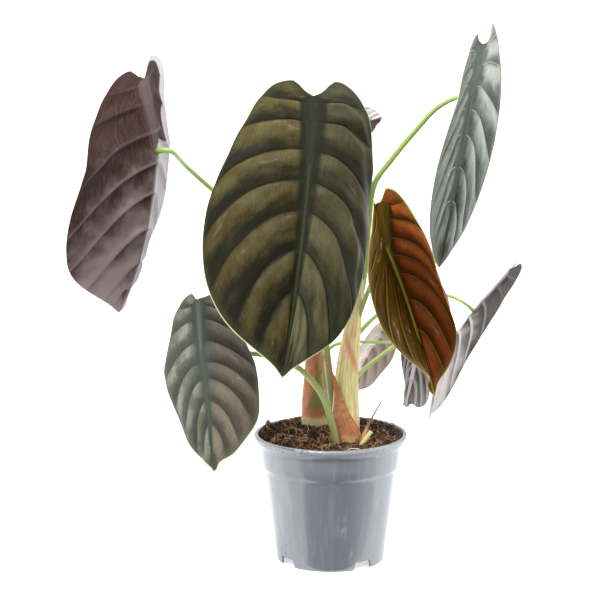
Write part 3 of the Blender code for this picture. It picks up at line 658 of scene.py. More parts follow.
def leaf_mesh(name, leaf):
    """Closed blade: each ring crosses the upper face and comes back across the lower face.

    It is thin at the margin. Veins are creased into the upper face and stand out of the lower one as
    rounded ridges.
    """
    per_gap, columns = leaf["grid"]
    part = np.linspace(0, 1, per_gap, endpoint=False)
    part = 0.5 * part + 0.25 * (1 - np.cos(math.pi * part))
    s = (np.arange(VEINS)[:, None] + part).ravel()[1:]
    s = np.append(s, VEINS - 0.02)
    out_share = np.linspace(0, 1, columns)
    s_grid, t_grid = np.meshgrid(s, np.concatenate((-out_share[::-1], out_share[1:])), indexing="ij")
    out = np.abs(t_grid)
    middle = np.where((t_grid < 0)[..., None], *[blade_points(leaf, s_grid, out, half) for half in (-1, 1)])
    normal = unit(np.cross(np.gradient(middle, axis=1), np.gradient(middle, axis=0)))
    if np.sum(normal @ blade_frame(leaf)[4]) < 0:
        normal = -normal
    both = [leaf_measures(leaf, s_grid, out, side) for side in (0, 1)]
    to_vein, to_rib, to_margin, root = [np.where(t_grid < 0, a, b) for a, b in zip(*both)]
    fade_out = np.clip(to_margin / VEIN_END, 0, 1)
    half_thick = EDGE_THICKNESS + MORE_INSIDE * np.clip(to_margin / EDGE_WIDTH, 0, 1)
    crease = CREASE_DEPTH * swell(to_vein, CREASE_WIDTH) * fade_out
    risen = np.clip(0.85 + 2.8 * root, 0.12, 1)
    ridge = VEIN_RIDGE * swell(to_vein, VEIN_WIDTH) * fade_out * risen
    rib_ridge = RIB_RIDGE * np.clip(1 - root, 0.15, 1) * np.clip(risen, 0.3, 1) * swell(to_rib, RIB_WIDTH)
    ridge = ridge + rib_ridge
    upper = middle + normal * (half_thick - crease)[..., None]
    lower = middle - normal * (half_thick + ridge)[..., None]
    rings = np.concatenate((upper, lower[:, ::-1]), axis=1)
    poles = [blade_points(leaf, np.array([end]), np.array([0.0]), 1)[0] for end in (0.0, float(VEINS))]
    values = {"to_vein": to_vein, "to_rib": to_rib, "to_margin": to_margin, "puff_tone_and_sheen": puff_tone_and_sheen(s_grid, out),
              "growth": np.stack((s_grid, t_grid, root), axis=2)}
    values = {label: there_and_back(kept) for label, kept in values.items()}
    width = t_grid.shape[1]
    kinds = np.concatenate((np.zeros(width), np.ones(width - 1), np.zeros(1)))
    return ring_mesh(name, rings, poles, values, kinds)


# %% [markdown]
# ## The leaf finish
# A quilted leaf is dark in the grooves and lighter on the puffs: partly its own colours, and partly painted
# shade in the grooves and painted light on the humps. It has uneven patches, a few pale painted highlights,
# a smooth streaked channel along the midrib with a band of painted shade beside it, and a thin pale margin.
# The upper face is waxy. The lower face is purple-brown with pale raised veins, and painted light makes it
# lighter across each panel between veins, towards the tip and towards its edge.
# Each is a recipe of the kept distances, a few cloudy patterns and a list of colours, so that nine leaves
# need only nine short lists.

# %% Upper face finish
MARGIN_WIDTH = 1.3
RIB_BAND = RIB_SHARE + 0.02
VEIN_LINES = (1.3, 60.0, 1.0)
FINE_LINES = (2.4, 60.0, 1.0)


def leaf_relief(tree, shader, growth, clouds, colour, look):
    """Gives a face its colour and its wrinkles: fine lines across the leaf over soft clouds."""
    fine = mottle(tree, growth, 1.5, 2.0, 0.5, FINE_LINES)
    complete(tree, shader, colour, reckon(tree, "ADD", fine, product(tree, clouds, 2.0)), look["wrinkle"])


def upper_finish(name, look):
    """Upper face: puffs and grooves of both halves, partly painted light and shade, then lines, painted
    highlights, rim, channel, veins and margin.
    """
    finish, tree, shader = start_finish(name, look["rough"], look["gloss"])
    growth = stored(tree, "growth", "Vector")
    half, root = axes_of(tree, growth)[1:]
    out = reckon(tree, "ABSOLUTE", half)
    puffs = stored(tree, "puff_tone_and_sheen")
    to_margin = stored(tree, "to_margin")
    clouds = mottle(tree, object_place(tree), 70.0, 3.0, 0.55)
    crest = cover(tree, look["crest"], look["warm"], clouds, 0.40, 0.60)
    patches = mottle(tree, growth, 1.0, 4.0, 0.6, (2.2, 3.2, 1.0))
    wobble = product(tree, reckon(tree, "SUBTRACT", patches, 0.5), look["uneven"])
    # The crest colour on the humps is partly painted light, and the near-black groove colour partly painted
    # shade.
    puff_share_and_sheen = fade(tree, reckon(tree, "ADD", puffs, wobble), 0.10, 1.05)
    left = blend_colours(tree, puff_share_and_sheen, look["groove"], crest)
    left = scaled(tree, left, fade(tree, root, -0.25, 0.60, *look["lift"]))
    # The right half has colours and a lift of its own: partly its own tones, partly painted light for how
    # that half catches the light.
    right = blend_colours(tree, puff_share_and_sheen, look["other_groove"], look["other_crest"])
    right = scaled(tree, right, fade(tree, root, -0.25, 0.60, *look["other_lift"]))
    colour = cover(tree, left, right, half, -0.05, 0.25)
    lines = mottle(tree, growth, 1.6, 3.0, 0.6, VEIN_LINES)
    colour = scaled(tree, colour, fade(tree, lines, 0.30, 0.70, 1.0 - look["lines"], 1.0 + look["lines"]))
    # Pale painted highlights on the higher humps, drawn out along the leaf.
    painted_highlights = fade(tree, mottle(tree, growth, 1.0, 5.0, 0.7, (2.6, 3.0, 1.0)), 0.56, 0.72)
    painted_highlights = product(tree, painted_highlights, fade(tree, puffs, 0.70, 0.95, 0.0, look["painted_highlight_share"]))
    colour = blend_colours(tree, painted_highlights, colour, look["painted_highlight"])
    colour = cover(tree, colour, look["rim"], to_margin, 9.0, 1.5, look["rim_share"])
    channel = scaled(tree, look["channel"], fade(tree, out, 0.0, RIB_SHARE, 1.25, 0.75))
    streaks = mottle(tree, growth, 1.0, 3.0, 0.6, (1.5, 90.0, 1.0))
    channel = scaled(tree, channel, fade(tree, streaks, 0.35, 0.65, 0.8, 1.25))
    colour = cover(tree, colour, channel, out, RIB_SHARE * 1.15, RIB_SHARE * 0.85, 0.8)
    # A band of painted shade on each side of the midrib's smooth channel.
    from_rib_shade = reckon(tree, "ABSOLUTE", reckon(tree, "SUBTRACT", out, RIB_BAND))
    colour = cover(tree, colour, look["painted_rib_shade"], from_rib_shade, look["painted_rib_shade_width"], 0.0, 0.75)
    width = look["vein_width"]
    vein = fade(tree, stored(tree, "to_vein"), width, width * 0.3, 0.0, look["vein_share"])
    colour = blend_colours(tree, product(tree, vein, fade(tree, out, 0.09, 0.17)), colour, look["vein"])
    width = look["rib_width"]
    rib = fade(tree, stored(tree, "to_rib"), width, width * 0.4, 0.0, look["rib_share"])
    colour = blend_colours(tree, product(tree, rib, fade(tree, root, -0.06, 0.02)), colour, look["rib"])
    colour = cover(tree, colour, look["margin"], to_margin, MARGIN_WIDTH, MARGIN_WIDTH * 0.35)
    leaf_relief(tree, shader, growth, clouds, colour, look)
    return finish


# %% Lower face finish
def lower_finish(name, look):
    """Lower face: painted light across each panel and towards the tip and the edge, then veins, ribs, a
    painted second tone on one half and the margin.
    """
    finish, tree, shader = start_finish(name, look["under_rough"], look["under_gloss"])
    growth = stored(tree, "growth", "Vector")
    along, half, root = axes_of(tree, growth)
    out = reckon(tree, "ABSOLUTE", half)
    clouds = mottle(tree, object_place(tree), 55.0, 3.0, 0.55)
    # Painted light: each panel is darker just past a vein and lighter towards the next, more so towards the
    # tip, and a painted sheen lightens the outer part near the tip; clouds add random tone.
    tone = reckon(tree, "MULTIPLY_ADD", reckon(tree, "FRACT", along), 0.85, 0.35)
    tone = reckon(tree, "MULTIPLY_ADD", tone, fade(tree, root, -0.30, 0.70), clouds)
    sheen_near_edge = product(tree, fade(tree, root, 0.0, 0.6), fade(tree, out, 0.3, 1.0, 0.0, 0.40))
    tone = reckon(tree, "ADD", tone, sheen_near_edge)
    colour = cover(tree, look["under"], look["under_pale_and_sheen"], tone, 0.60, 1.60)
    lines = mottle(tree, growth, 1.6, 3.0, 0.6, VEIN_LINES)
    colour = cover(tree, colour, look["under_pale_and_sheen"], lines, 0.35, 0.8, 0.15)
    vein = fade(tree, stored(tree, "to_vein"), 1.8, 0.4, 0.0, look["under_vein_share"])
    vein = product(tree, vein, fade(tree, root, -0.22, 0.12, 0.1, 1.0))
    basal = product(tree, fade(tree, out, 0.15, 0.08, 0.0, 0.3), fade(tree, root, 0.02, -0.05))
    rib = fade(tree, stored(tree, "to_rib"), 1.6, 0.6, 0.0, 0.8)
    rib = product(tree, rib, fade(tree, root, -0.05, 0.02))
    for share in (vein, basal, rib):
        colour = blend_colours(tree, share, colour, look["under_vein"])
    # A second tone painted on the left half of the lower face, only its outer part in the lobes: a pale
    # painted reflection on the left leaf, and on the inner leaf a darker half beside a pale one, painted
    # light and shade.
    above = fade(tree, root, -0.02, -0.10, 0.0, look["under_painted_half_from"])
    from_left = reckon(tree, "ADD", half, above)
    colour = cover(tree, colour, look["under_painted_half"], from_left, 0.02, -0.06, look["under_painted_half_share"])
    colour = cover(tree, colour, look["under_margin"], stored(tree, "to_margin"), 0.9, 0.3)
    leaf_relief(tree, shader, growth, clouds, colour, look)
    return finish


# %% [markdown]
# ## The colours of the nine leaves
# Old leaves are dark olive bronze, the tall and the lowest one have a silver bloom, and the young one is
# glossy copper on one half and olive gold on the other, because its halves catch different light. Only
# what differs from the first list is written for each leaf. The names with other are the right half's,
# lift is the brightness at the lobes and at the tip, and those with under are the lower face's.

# %% Leaf colours
LOOK = dict(
    # The crest colours are partly painted light on the humps, and the groove colours partly painted shade.
    rough=0.40, gloss=0.10, crest=(0.062, 0.053, 0.018), warm=(0.050, 0.037, 0.010),
    # The right half's colours are partly painted light.
    groove=(0.009, 0.009, 0.004), other_crest=(0.063, 0.058, 0.028), other_groove=(0.020, 0.020, 0.011),
    # The pale spots laid on the humps are painted highlights.
    lift=(1.0, 1.0), other_lift=(1.0, 1.0), uneven=1.2, lines=0.16, painted_highlight=(0.16, 0.135, 0.12),
    painted_highlight_share=0.6, rim=(0.034, 0.035, 0.015), rim_share=0.6, channel=(0.020, 0.022, 0.010),
    # The dark band beside the midrib's channel is painted shade.
    painted_rib_shade=(0.009, 0.009, 0.004), painted_rib_shade_width=0.045, vein=(0.006, 0.007, 0.004), vein_width=1.1,
    vein_share=0.7, rib=(0.030, 0.038, 0.016), rib_width=1.0, rib_share=0.6, margin=(0.50, 0.54, 0.32),
    wrinkle=0.14, under_rough=0.45, under_gloss=0.12, under=(0.028, 0.013, 0.011),
    # The paler lower-face colour is partly the leaf's own tone and partly painted sheen.
    under_pale_and_sheen=(0.085, 0.055, 0.055), under_painted_half=(0.07, 0.045, 0.045), under_painted_half_share=0.0,
    # The second tone on one half of the lower face is painted light and shade, off unless a leaf sets it.
    under_painted_half_from=0.0, under_vein=(0.17, 0.14, 0.14), under_vein_share=0.5,
    under_margin=(0.15, 0.13, 0.10))
LEAF_LOOKS = {
    "main": dict(
        gloss=0.06, uneven=1.9, lift=(1.10, 0.74), other_lift=(0.86, 1.40),
        channel=(0.014, 0.016, 0.007)),
    # The left leaf's near-white tone on one half of its lower face is a painted reflection of the bright
    # side.
    "left": dict(
        crest=(0.10, 0.10, 0.078), warm=(0.080, 0.072, 0.048), groove=(0.030, 0.032, 0.024),
        other_crest=(0.10, 0.10, 0.078), other_groove=(0.030, 0.032, 0.024), painted_rib_shade=(0.025, 0.027, 0.020),
        channel=(0.050, 0.056, 0.040), under_rough=0.6, under_gloss=0.03, under=(0.026, 0.012, 0.010),
        under_pale_and_sheen=(0.235, 0.188, 0.180), under_painted_half=(0.42, 0.40, 0.41), under_painted_half_share=0.9,
        under_painted_half_from=0.70),
    "tall": dict(
        gloss=0.12, crest=(0.11, 0.12, 0.10), warm=(0.062, 0.070, 0.056), groove=(0.026, 0.030, 0.024),
        other_crest=(0.245, 0.268, 0.245), other_groove=(0.040, 0.046, 0.038), other_lift=(1.1, 0.65),
        uneven=1.6, painted_highlight=(0.34, 0.37, 0.34), painted_highlight_share=0.7, rim=(0.14, 0.15, 0.12),
        channel=(0.115, 0.135, 0.110), painted_rib_shade=(0.085, 0.096, 0.080), vein=(0.38, 0.44, 0.38),
        vein_share=0.5, vein_width=0.7, margin=(0.44, 0.46, 0.40)),
    "copper": dict(
        rough=0.22, gloss=0.035, crest=(0.062, 0.030, 0.002), warm=(0.052, 0.022, 0.002),
        groove=(0.026, 0.016, 0.002), other_crest=(0.225, 0.058, 0.013),
        other_groove=(0.10, 0.026, 0.007), other_lift=(1.15, 0.92), uneven=0.6, painted_highlight=(0.42, 0.30, 0.22),
        rim=(0.22, 0.14, 0.05), rim_share=0.3, channel=(0.095, 0.062, 0.006), painted_rib_shade=(0.050, 0.024, 0.004),
        vein=(0.19, 0.12, 0.018), vein_width=0.8, rib=(0.24, 0.24, 0.028), rib_width=1.2, rib_share=0.9,
        margin=(0.36, 0.25, 0.057), wrinkle=0.10, under=(0.19, 0.057, 0.028),
        under_pale_and_sheen=(0.23, 0.085, 0.048)),
    "low_left": dict(
        gloss=0.07, crest=(0.155, 0.158, 0.130), warm=(0.088, 0.082, 0.058), groove=(0.038, 0.044, 0.034),
        other_crest=(0.130, 0.110, 0.080), other_groove=(0.042, 0.037, 0.026), lift=(1.2, 0.85),
        uneven=1.0, painted_highlight=(0.26, 0.28, 0.25), rim=(0.088, 0.088, 0.064), channel=(0.060, 0.075, 0.055),
        painted_rib_shade=(0.036, 0.043, 0.036), painted_rib_shade_width=0.16, vein=(0.030, 0.034, 0.027), vein_share=0.15),
    # The low right leaf's very pale lower-face tone is mostly painted sheen.
    "low_right": dict(
        crest=(0.095, 0.085, 0.076), warm=(0.095, 0.076, 0.067), under=(0.026, 0.018, 0.019),
        under_pale_and_sheen=(0.46, 0.43, 0.44), under_vein=(0.56, 0.54, 0.55)),
    "drip": dict(
        under=(0.018, 0.012, 0.011), under_pale_and_sheen=(0.085, 0.070, 0.066), under_vein=(0.36, 0.34, 0.35)),
    # The inner leaf's pale lower face is painted sheen, and its darker half painted shade.
    "inner": dict(
        under=(0.50, 0.44, 0.40), under_pale_and_sheen=(0.80, 0.72, 0.68), under_vein=(0.62, 0.54, 0.50),
        under_painted_half=(0.20, 0.14, 0.11), under_painted_half_share=0.8),
    # On the leaf behind, the light grey right half is painted light from above, and the dark red left half
    # is painted shade.
    "behind": dict(
        crest=(0.045, 0.010, 0.010), warm=(0.060, 0.015, 0.014), groove=(0.020, 0.006, 0.006),
        other_crest=(0.50, 0.48, 0.45), other_groove=(0.34, 0.33, 0.31), margin=(0.55, 0.52, 0.50),
        rim_share=0.0, painted_highlight_share=0.0, vein=(0.16, 0.10, 0.10), vein_share=0.3),
}

# %% [markdown]
# ## The leaves in their places
# Every leaf has its navel, where the stalk meets it, and its tip at given places, and then a turn about
# the line between them, a fold, a curl and a droop. Pairs hold the left half's and the right half's
# value. Sway bends the midrib sideways, and ruffle waves the margin.

# %% Leaf places
LEAF_DEFAULTS = dict(
    fold=(0, 0), lobe_fold=(0, 0), tip_fold=(0, 0), curl=(0, 0), droop_tip=0, droop_lobe=0, width=(1, 1),
    taper=(0, 0), lobe_width=(1, 1), lobe_length=(1, 1), sway=(0, 0), ruffle=0.012, ruffle_phase=0.0,
    puff=(1, 1), crumple=(0.1, 0.1), grid=(12, 30))
LEAVES = {
    "main": dict(
        navel=(-17, -30, 314), tip=(-37, -92, 165), turn=5, fold=(0, -12), lobe_fold=(1, 11),
        tip_fold=(-1, 10), curl=(-32, -56), droop_tip=15, droop_lobe=13, width=(1.0, 1.08),
        taper=(-0.06, 0.24), lobe_width=(0.94, 1.07), lobe_length=(1.14, 1.28), sway=(0.02, -0.1),
        ruffle=0.01, ruffle_phase=-0.38, puff=(1, 0.6), crumple=(0.12, 0.45), grid=(16, 44)),
    "left": dict(
        navel=(-134, 1, 323), tip=(-168, 40, 189), turn=-127, fold=(46, 2), lobe_fold=(0, 13),
        tip_fold=(-3, 30), curl=(-15, -9), droop_tip=-55, droop_lobe=-44, width=(1.14, 1.38),
        taper=(-0.06, 0.25), lobe_width=(0.96, 0.68), lobe_length=(1.81, 1.19), sway=(0.32, -0.83),
        ruffle=0.004, ruffle_phase=0.46, grid=(14, 36)),
    "tall": dict(
        navel=(105, -15, 365), tip=(82, -24, 236), turn=18, fold=(71, -65), lobe_fold=(-8, -19),
        tip_fold=(-9, 10), curl=(-15, 36), droop_tip=-1, droop_lobe=-19, width=(1.03, 1.06),
        taper=(-0.12, 0.29), lobe_width=(0.78, 1.52), lobe_length=(0.98, 0.97), sway=(0.01, -0.07),
        ruffle=0.001, ruffle_phase=0.2),
    "copper": dict(
        navel=(41, -75, 259), tip=(79, -35, 139), turn=18, fold=(68, 27), lobe_fold=(13, -6),
        tip_fold=(35, 4), curl=(-37, 98), droop_tip=-43, droop_lobe=15, width=(0.86, 0.96),
        taper=(-0.29, 0.22), lobe_width=(2.0, 0.44), lobe_length=(1.13, 1.02), sway=(0.18, 0.13),
        ruffle=-0.009, ruffle_phase=0.36, grid=(14, 36)),
    "low_left": dict(
        navel=(-99, -49, 174), tip=(-88.5, -95, 94), turn=-14, fold=(-23, -34), lobe_fold=(9, -17),
        tip_fold=(-6, 8), curl=(-6, -19), droop_tip=9, droop_lobe=13, width=(1.09, 1.14),
        taper=(0.38, 0.16), lobe_width=(0.61, 1.19), lobe_length=(1.59, 1.59), sway=(0.07, -0.06),
        ruffle=0.025, ruffle_phase=0.43, puff=(0.7, 0.7), grid=(14, 36)),
    "low_right": dict(
        navel=(114, 35, 191), tip=(79, 35, 104), turn=94, fold=(10, 25), tip_fold=(0, 3), curl=(-5, -20),
        droop_tip=-35, width=(1.11, 1.1), taper=(-0.03, 0.05), lobe_width=(0.86, 0.98),
        lobe_length=(1.36, 1.36), sway=(-0.03, -0.06), ruffle=0.003, ruffle_phase=0.15),
    "drip": dict(
        navel=(77, 148, 148), tip=(62, 91, 101), turn=164, fold=(74, 56), tip_fold=(-15, 59), curl=(9, 7),
        droop_tip=16, droop_lobe=12, grid=(8, 20)),
    "inner": dict(
        navel=(43, 97, 162), tip=(17, 83, 111), turn=235, fold=(4, -13), lobe_fold=(0, -10),
        tip_fold=(-5, 0), curl=(-29, 0), droop_tip=30, droop_lobe=13, width=(1.1, 1), grid=(8, 20)),
    "behind": dict(
        navel=(16, 84, 331), tip=(42, 61, 342), turn=38, fold=(17, 16), tip_fold=(-8, -18), curl=(10, 5),
        droop_tip=-3, width=(1, 0.86), grid=(8, 20)),
}

# %% Make the leaves
for name, own in LEAVES.items():
    LEAVES[name] = LEAF_DEFAULTS | own
    look = LOOK | LEAF_LOOKS[name]
    finishes = (upper_finish("upper face " + name, look), lower_finish("lower face " + name, look))
    add_piece(leaf_mesh("leaf_" + name, LEAVES[name]), finishes, "blade_" + name)

# %% [markdown]
# ## Round bodies along a path
# A stalk is a circle carried along a smooth path. The circle must not spin as it travels, or the fine
# lines along the stalk would twist, so each ring's directions are worked out from one fixed reference
# direction. Blender's bevelled curves do the same, but they keep no place along the stalk for the finish
# to follow.

# %% Tube along a path
REFERENCE = np.array((0.31, -0.94, 0.12))


def circle_angles(sides):
    """Even angles round a circle."""
    return np.linspace(0, 2 * math.pi, sides, endpoint=False)


def round_growth(angle, far):
    """Place on a round body whose last part runs along it, so that a pattern can be drawn out into lines."""
    return np.stack(np.broadcast_arrays(np.cos(angle), np.sin(angle), far), axis=-1)


def tube_mesh(name, route, radius, sides=16):
    """Closed tube of the given radii round a route, each circle square to the route."""
    forward = unit(np.gradient(route, axis=0))
    across = unit(np.cross(forward, REFERENCE))
    up = np.cross(across, forward)
    angle = circle_angles(sides)
    circle = np.cos(angle)[None, :, None] * across[:, None] + np.sin(angle)[None, :, None] * up[:, None]
    rings = route[:, None] + circle * np.asarray(radius)[:, None, None]
    length = travelled(route)
    share = np.broadcast_to((length / length[-1])[:, None], rings.shape[:2])
    values = {"growth": round_growth(angle, length[:, None] / 10), "share": share}
    return ring_mesh(name, rings, (route[0], route[-1]), values)


# %% [markdown]
# ## Stalks
# A stalk is a satin yellow-green rod with faint lengthwise lines. It is thickest in its sheath, thins on
# the way, widens again just under the leaf and meets it from below at the navel. A straight cylinder
# would be quicker, but the slow bends are what makes the leaves seem to hang.

# %% Stalk paths
NECK = 12.0
IN_BLADE = 0.2
HEAD_SWELLING = 0.9
PETIOLES = {
    "main": dict(radius=(3.8, 1.9), route=(
        (9, -12, 100), (4.5, -9, 115), (1, -6, 132), (-1.5, -3, 150), (-4, 0, 172), (-10, 1, 215),
        (-17, -6, 270))),
    "left": dict(radius=(2.5, 1.8), route=(
        (-10, 32, 152), (-16, 34, 200), (-42, 40, 246), (-92, 50, 285), (-112, 27, 307))),
    "tall": dict(radius=(3.2, 1.8), route=(
        (18, -7.5, 186), (26, 5, 229), (29, 15, 262), (34, 20, 295), (47, 19, 314), (65, 14, 337),
        (82, 5, 356.5))),
    "copper": dict(radius=(2.0, 1.5), route=((17, -8, 182), (27, -12, 212), (36, -26, 240))),
    "low_left": dict(radius=(3.4, 1.6), route=(
        (4.5, -26, 84), (3.5, -25.5, 101), (0, -25, 117), (-4, -23.5, 130), (-10, -21, 141), (-28, -15, 158),
        (-60, -13, 167))),
    "low_right": dict(radius=(1.8, 1.3), route=(
        (15, -8.5, 172), (26, -3, 186), (48, 14, 200), (90, 42, 203))),
    "drip": dict(radius=(1.8, 1.3), route=((12, -10, 138), (25, -1, 151), (49, 30, 163))),
    "inner": dict(radius=(1.6, 1.2), route=((-10, 32, 142), (2, 48, 160))),
    "behind": dict(radius=(1.8, 1.2), route=((-8.5, 31, 178), (-4, 44, 230), (6, 70, 287))),
}


def petiole_route(name, count):
    """Path of a stalk from its sheath to the leaf, ending inside the blade at the navel."""
    navel = np.array(LEAVES[name]["navel"], float)
    out = navel_normal(LEAVES[name])
    return smooth_route([*PETIOLES[name]["route"], navel - out * NECK, navel - out * IN_BLADE], count)


# %% Stalk finish
def stalk_finish(name, colour, pale, foot_colour, foot_share=0.22, tip_share=0.0):
    """Satin stalk with pale lengthwise lines, another colour at its foot and a share of dark at its tip."""
    finish, tree, shader = start_finish(name, 0.36)
    share = stored(tree, "share")
    lines = mottle(tree, stored(tree, "growth", "Vector"), 1.2, 2.0, 0.5, (5.0, 5.0, 0.12))
    clouds = mottle(tree, object_place(tree), 60.0, 2.0, 0.5)
    base = cover(tree, colour, pale, lines, 0.35, 0.68)
    base = cover(tree, base, foot_colour, clouds, 0.45, 0.75, 0.4)
    base = cover(tree, base, foot_colour, share, foot_share, 0.0)
    base = cover(tree, base, (0.07, 0.05, 0.04), share, 0.40, 0.60, tip_share)
    complete(tree, shader, base, lines, 0.15)
    return finish


green_stalk = stalk_finish("green stalk", (0.21, 0.32, 0.062), (0.31, 0.44, 0.11), (0.30, 0.42, 0.11))
olive_stalk = stalk_finish("olive stalk", (0.28, 0.33, 0.085), (0.40, 0.46, 0.16), (0.18, 0.18, 0.055), 0.45)

# %% Make the stalks
for name, values in PETIOLES.items():
    route = petiole_route(name, 60)
    share = np.linspace(0, 1, len(route))
    foot, head = values["radius"]
    radius = foot + (head - foot) * share ** 0.7 + HEAD_SWELLING * np.exp(-(1 - share) * 45)
    finish = olive_stalk if name in ("main", "low_left") else green_stalk
    add_piece(tube_mesh("stalk_" + name, route, radius), [finish], "petiole_" + name)

# %% [markdown]
# ## Stems
# Each stem is a bundle of leaf sheaths wrapped round one another. Its section is a circle with a soft
# ridge where a sheath's free edge lies, and the ridge winds slowly upwards. Separate sheets wound round
# each other would be truer, but they would cross at every turn, and the finish draws the free edge more
# cleanly.

# %% Stem shape
STEM_FOOT = 62.0
SHEATH_RIDGE = 0.05
STEMS = {
    "stem_front": dict(radius=(10, 11.6, 11, 9.4, 7.4, 3.6, 0.9), route=(
        (11.5, -11, STEM_FOOT), (11, -11, 95), (11.5, -10.5, 118), (12, -10, 144), (15.5, -8.5, 177),
        (21, -6.5, 207), (24.5, -5, 224))),
    "stem_back": dict(radius=(9, 10.6, 10.4, 8.8, 5.6, 1.2), route=(
        (-11, 33, STEM_FOOT), (-11, 33, 98), (-11, 33, 120), (-10.5, 32, 150), (-9, 31, 180),
        (-7, 30, 204))),
}


def stem_section(angle, height_share):
    """Radius factor of a stem: one soft ridge that winds slowly upwards."""
    turned = angle - 1.2 - 1.6 * height_share
    return 1 + SHEATH_RIDGE * np.exp(3.0 * (np.cos(turned) - 1)) - 0.4 * SHEATH_RIDGE


def stem_line(name, z):
    """Centre and radius of a stem at the heights z, and the share of its height."""
    x, y, heights = zip(*STEMS[name]["route"])
    share = (z - heights[0]) / (heights[-1] - heights[0])
    return *(monotone_curve(z, heights, known) for known in (x, y, STEMS[name]["radius"])), share


# %% Stem mesh
MOUTH_HEIGHT = 0.71
MOUTH_TURN = 2.02
MOUTH_SLANT = 10.6


def stem_mesh(name, stem, count=90, sides=64):
    """Stem from its rings, with shallow grooves along it.

    The sheath's mouth is a slanting line round the stem, and each point keeps its angle from that line.
    """
    z = np.linspace(STEM_FOOT, STEMS[stem]["route"][-1][2], count)[:, None]
    centre_x, centre_y, size, share = stem_line(stem, z)
    angle = circle_angles(sides)[None, :]
    grooves = 0.012 * np.sin(angle * 19 + 3 * share) + 0.008 * np.sin(angle * 31)
    rings = round_axis(size * (stem_section(angle, share) + grooves), angle, z, centre_x, centre_y)
    mouth = (angle + MOUTH_TURN - MOUTH_SLANT * (MOUTH_HEIGHT - share) + math.pi) % (2 * math.pi) - math.pi
    values = {"growth": round_growth(angle, (z - z[0]) / 10), "share": np.broadcast_to(share, mouth.shape),
              "from_mouth": np.abs(mouth)}
    return ring_mesh(name, rings, (rings[0].mean(0), rings[-1].mean(0)), values)


# %% [markdown]
# ## Sheath finish
# The sheath is pale yellow-green with close lengthwise lines and warm and green tints, a dry orange-brown
# lower end, and a thin red line along the free edge of the wrapped sheath. Painted light makes it darker low
# down and lighter upwards, and the front sheath's colours are painted brighter than the sheath, for the
# light that shines through it. The dry end has a ragged upper limit, which comes from the height on the stem
# with clouds added to it.

# %% Sheath finish
def sheath_finish(name, green, pale, dry, dry_top, foot):
    """Sheath: lines, two tints, painted light that darkens it low down and lightens it upwards, dry below
    dry_top, then the foot and the red edge.
    """
    finish, tree, shader = start_finish(name, 0.42)
    growth = stored(tree, "growth", "Vector")
    height = stored(tree, "share")
    lines = mottle(tree, growth, 1.6, 3.0, 0.6, (9.0, 9.0, 0.10))
    tints = mottle(tree, growth, 1.0, 3.0, 0.55, (2.2, 2.2, 0.35))
    clouds = mottle(tree, object_place(tree), 45.0, 3.0, 0.55)
    colour = cover(tree, green, pale, lines, 0.36, 0.64)
    colour = cover(tree, colour, (0.66, 0.36, 0.16), tints, 0.48, 0.64, 0.75)
    colour = cover(tree, colour, (0.40, 0.44, 0.13), tints, 0.46, 0.34, 0.55)
    # Painted light: darker low down and lighter upwards.
    colour = scaled(tree, colour, fade(tree, height, 0.35, 0.85, 0.80, 1.08))
    wobble = product(tree, reckon(tree, "SUBTRACT", clouds, 0.5), 0.5)
    dryness = fade(tree, reckon(tree, "ADD", height, wobble), dry_top + 0.06, dry_top - 0.06)
    dryness = product(tree, dryness, fade(tree, lines, 0.2, 0.7, 1.0, 0.75))
    colour = blend_colours(tree, dryness, colour, dry)
    colour = cover(tree, colour, foot, height, 0.27, 0.22, 0.8)
    red = product(tree, fade(tree, stored(tree, "from_mouth"), 0.55, 0.05, 0.0, 0.75),
                  fade(tree, height, 0.53, 0.57), fade(tree, height, 0.80, 0.70))
    colour = blend_colours(tree, red, colour, (0.62, 0.20, 0.13))
    complete(tree, shader, colour, lines, 0.35)
    return finish


# The front sheath's colours are brighter than the sheath itself: painted light for the light that shines
# through it.
SHEATHS = {
    "stem_front": dict(
        green=(0.60, 0.55, 0.18), pale=(0.90, 0.80, 0.42), dry=(0.52, 0.22, 0.085), dry_top=0.34,
        foot=(0.50, 0.50, 0.20)),
    "stem_back": dict(
        green=(0.20, 0.19, 0.055), pale=(0.30, 0.28, 0.095), dry=(0.50, 0.19, 0.07), dry_top=0.20,
        foot=(0.56, 0.54, 0.27)),
}
for stem, colours in SHEATHS.items():
    finish = sheath_finish("sheath of " + stem, **colours)
    add_piece(stem_mesh("sheathed_" + stem, stem), [finish], stem)

# %% [markdown]
# ## Scale leaves
# At the foot of each stem sits a scale leaf, a short dry wrapper that once covered a bud. It is thin,
# orange-red and papery, narrows upwards and lifts clear of the stem at its tip. A sheet given thickness
# by a modifier would do, but the stem's own formula lets it lie close to the stem all the way.

# %% Scale leaf shape
SCALE_IN = 0.2
SCALE_OUT = 0.7
CATAPHYLLS = {
    "cataphyll_front": dict(
        stem="stem_front", height=(97.6, 170.0), facing=(-70, -150), reach=(88, 4), lift=17.0),
    "cataphyll_back": dict(
        stem="stem_back", height=(100.2, 172.0), facing=(-112, -128), reach=(80, 26), lift=2.5),
}


def cataphyll_sheet(values, across, up, layer):
    """Points of a scale leaf: wrapped round its stem, narrower and lifted clear upwards, finely pleated."""
    low, high = values["height"]
    z = low + (high - low) * up
    centre_x, centre_y, size, share = stem_line(values["stem"], z)
    facing = values["facing"][0] + (values["facing"][1] - values["facing"][0]) * up ** 0.6
    reach = values["reach"][1] + (values["reach"][0] - values["reach"][1]) * (1 - up) ** 2.4
    angle = np.radians(facing + reach * across)
    pleats = 0.10 * np.sin(across * 26 + 5 * up) * (1 - 0.5 * up)
    size = (size + 0.5 + layer + pleats) * np.maximum(stem_section(angle, share), 1.0)
    size = size + values["lift"] * np.clip((up - 0.45) / 0.55, 0, 1) ** 1.8
    return round_axis(size, angle, z, centre_x, centre_y)


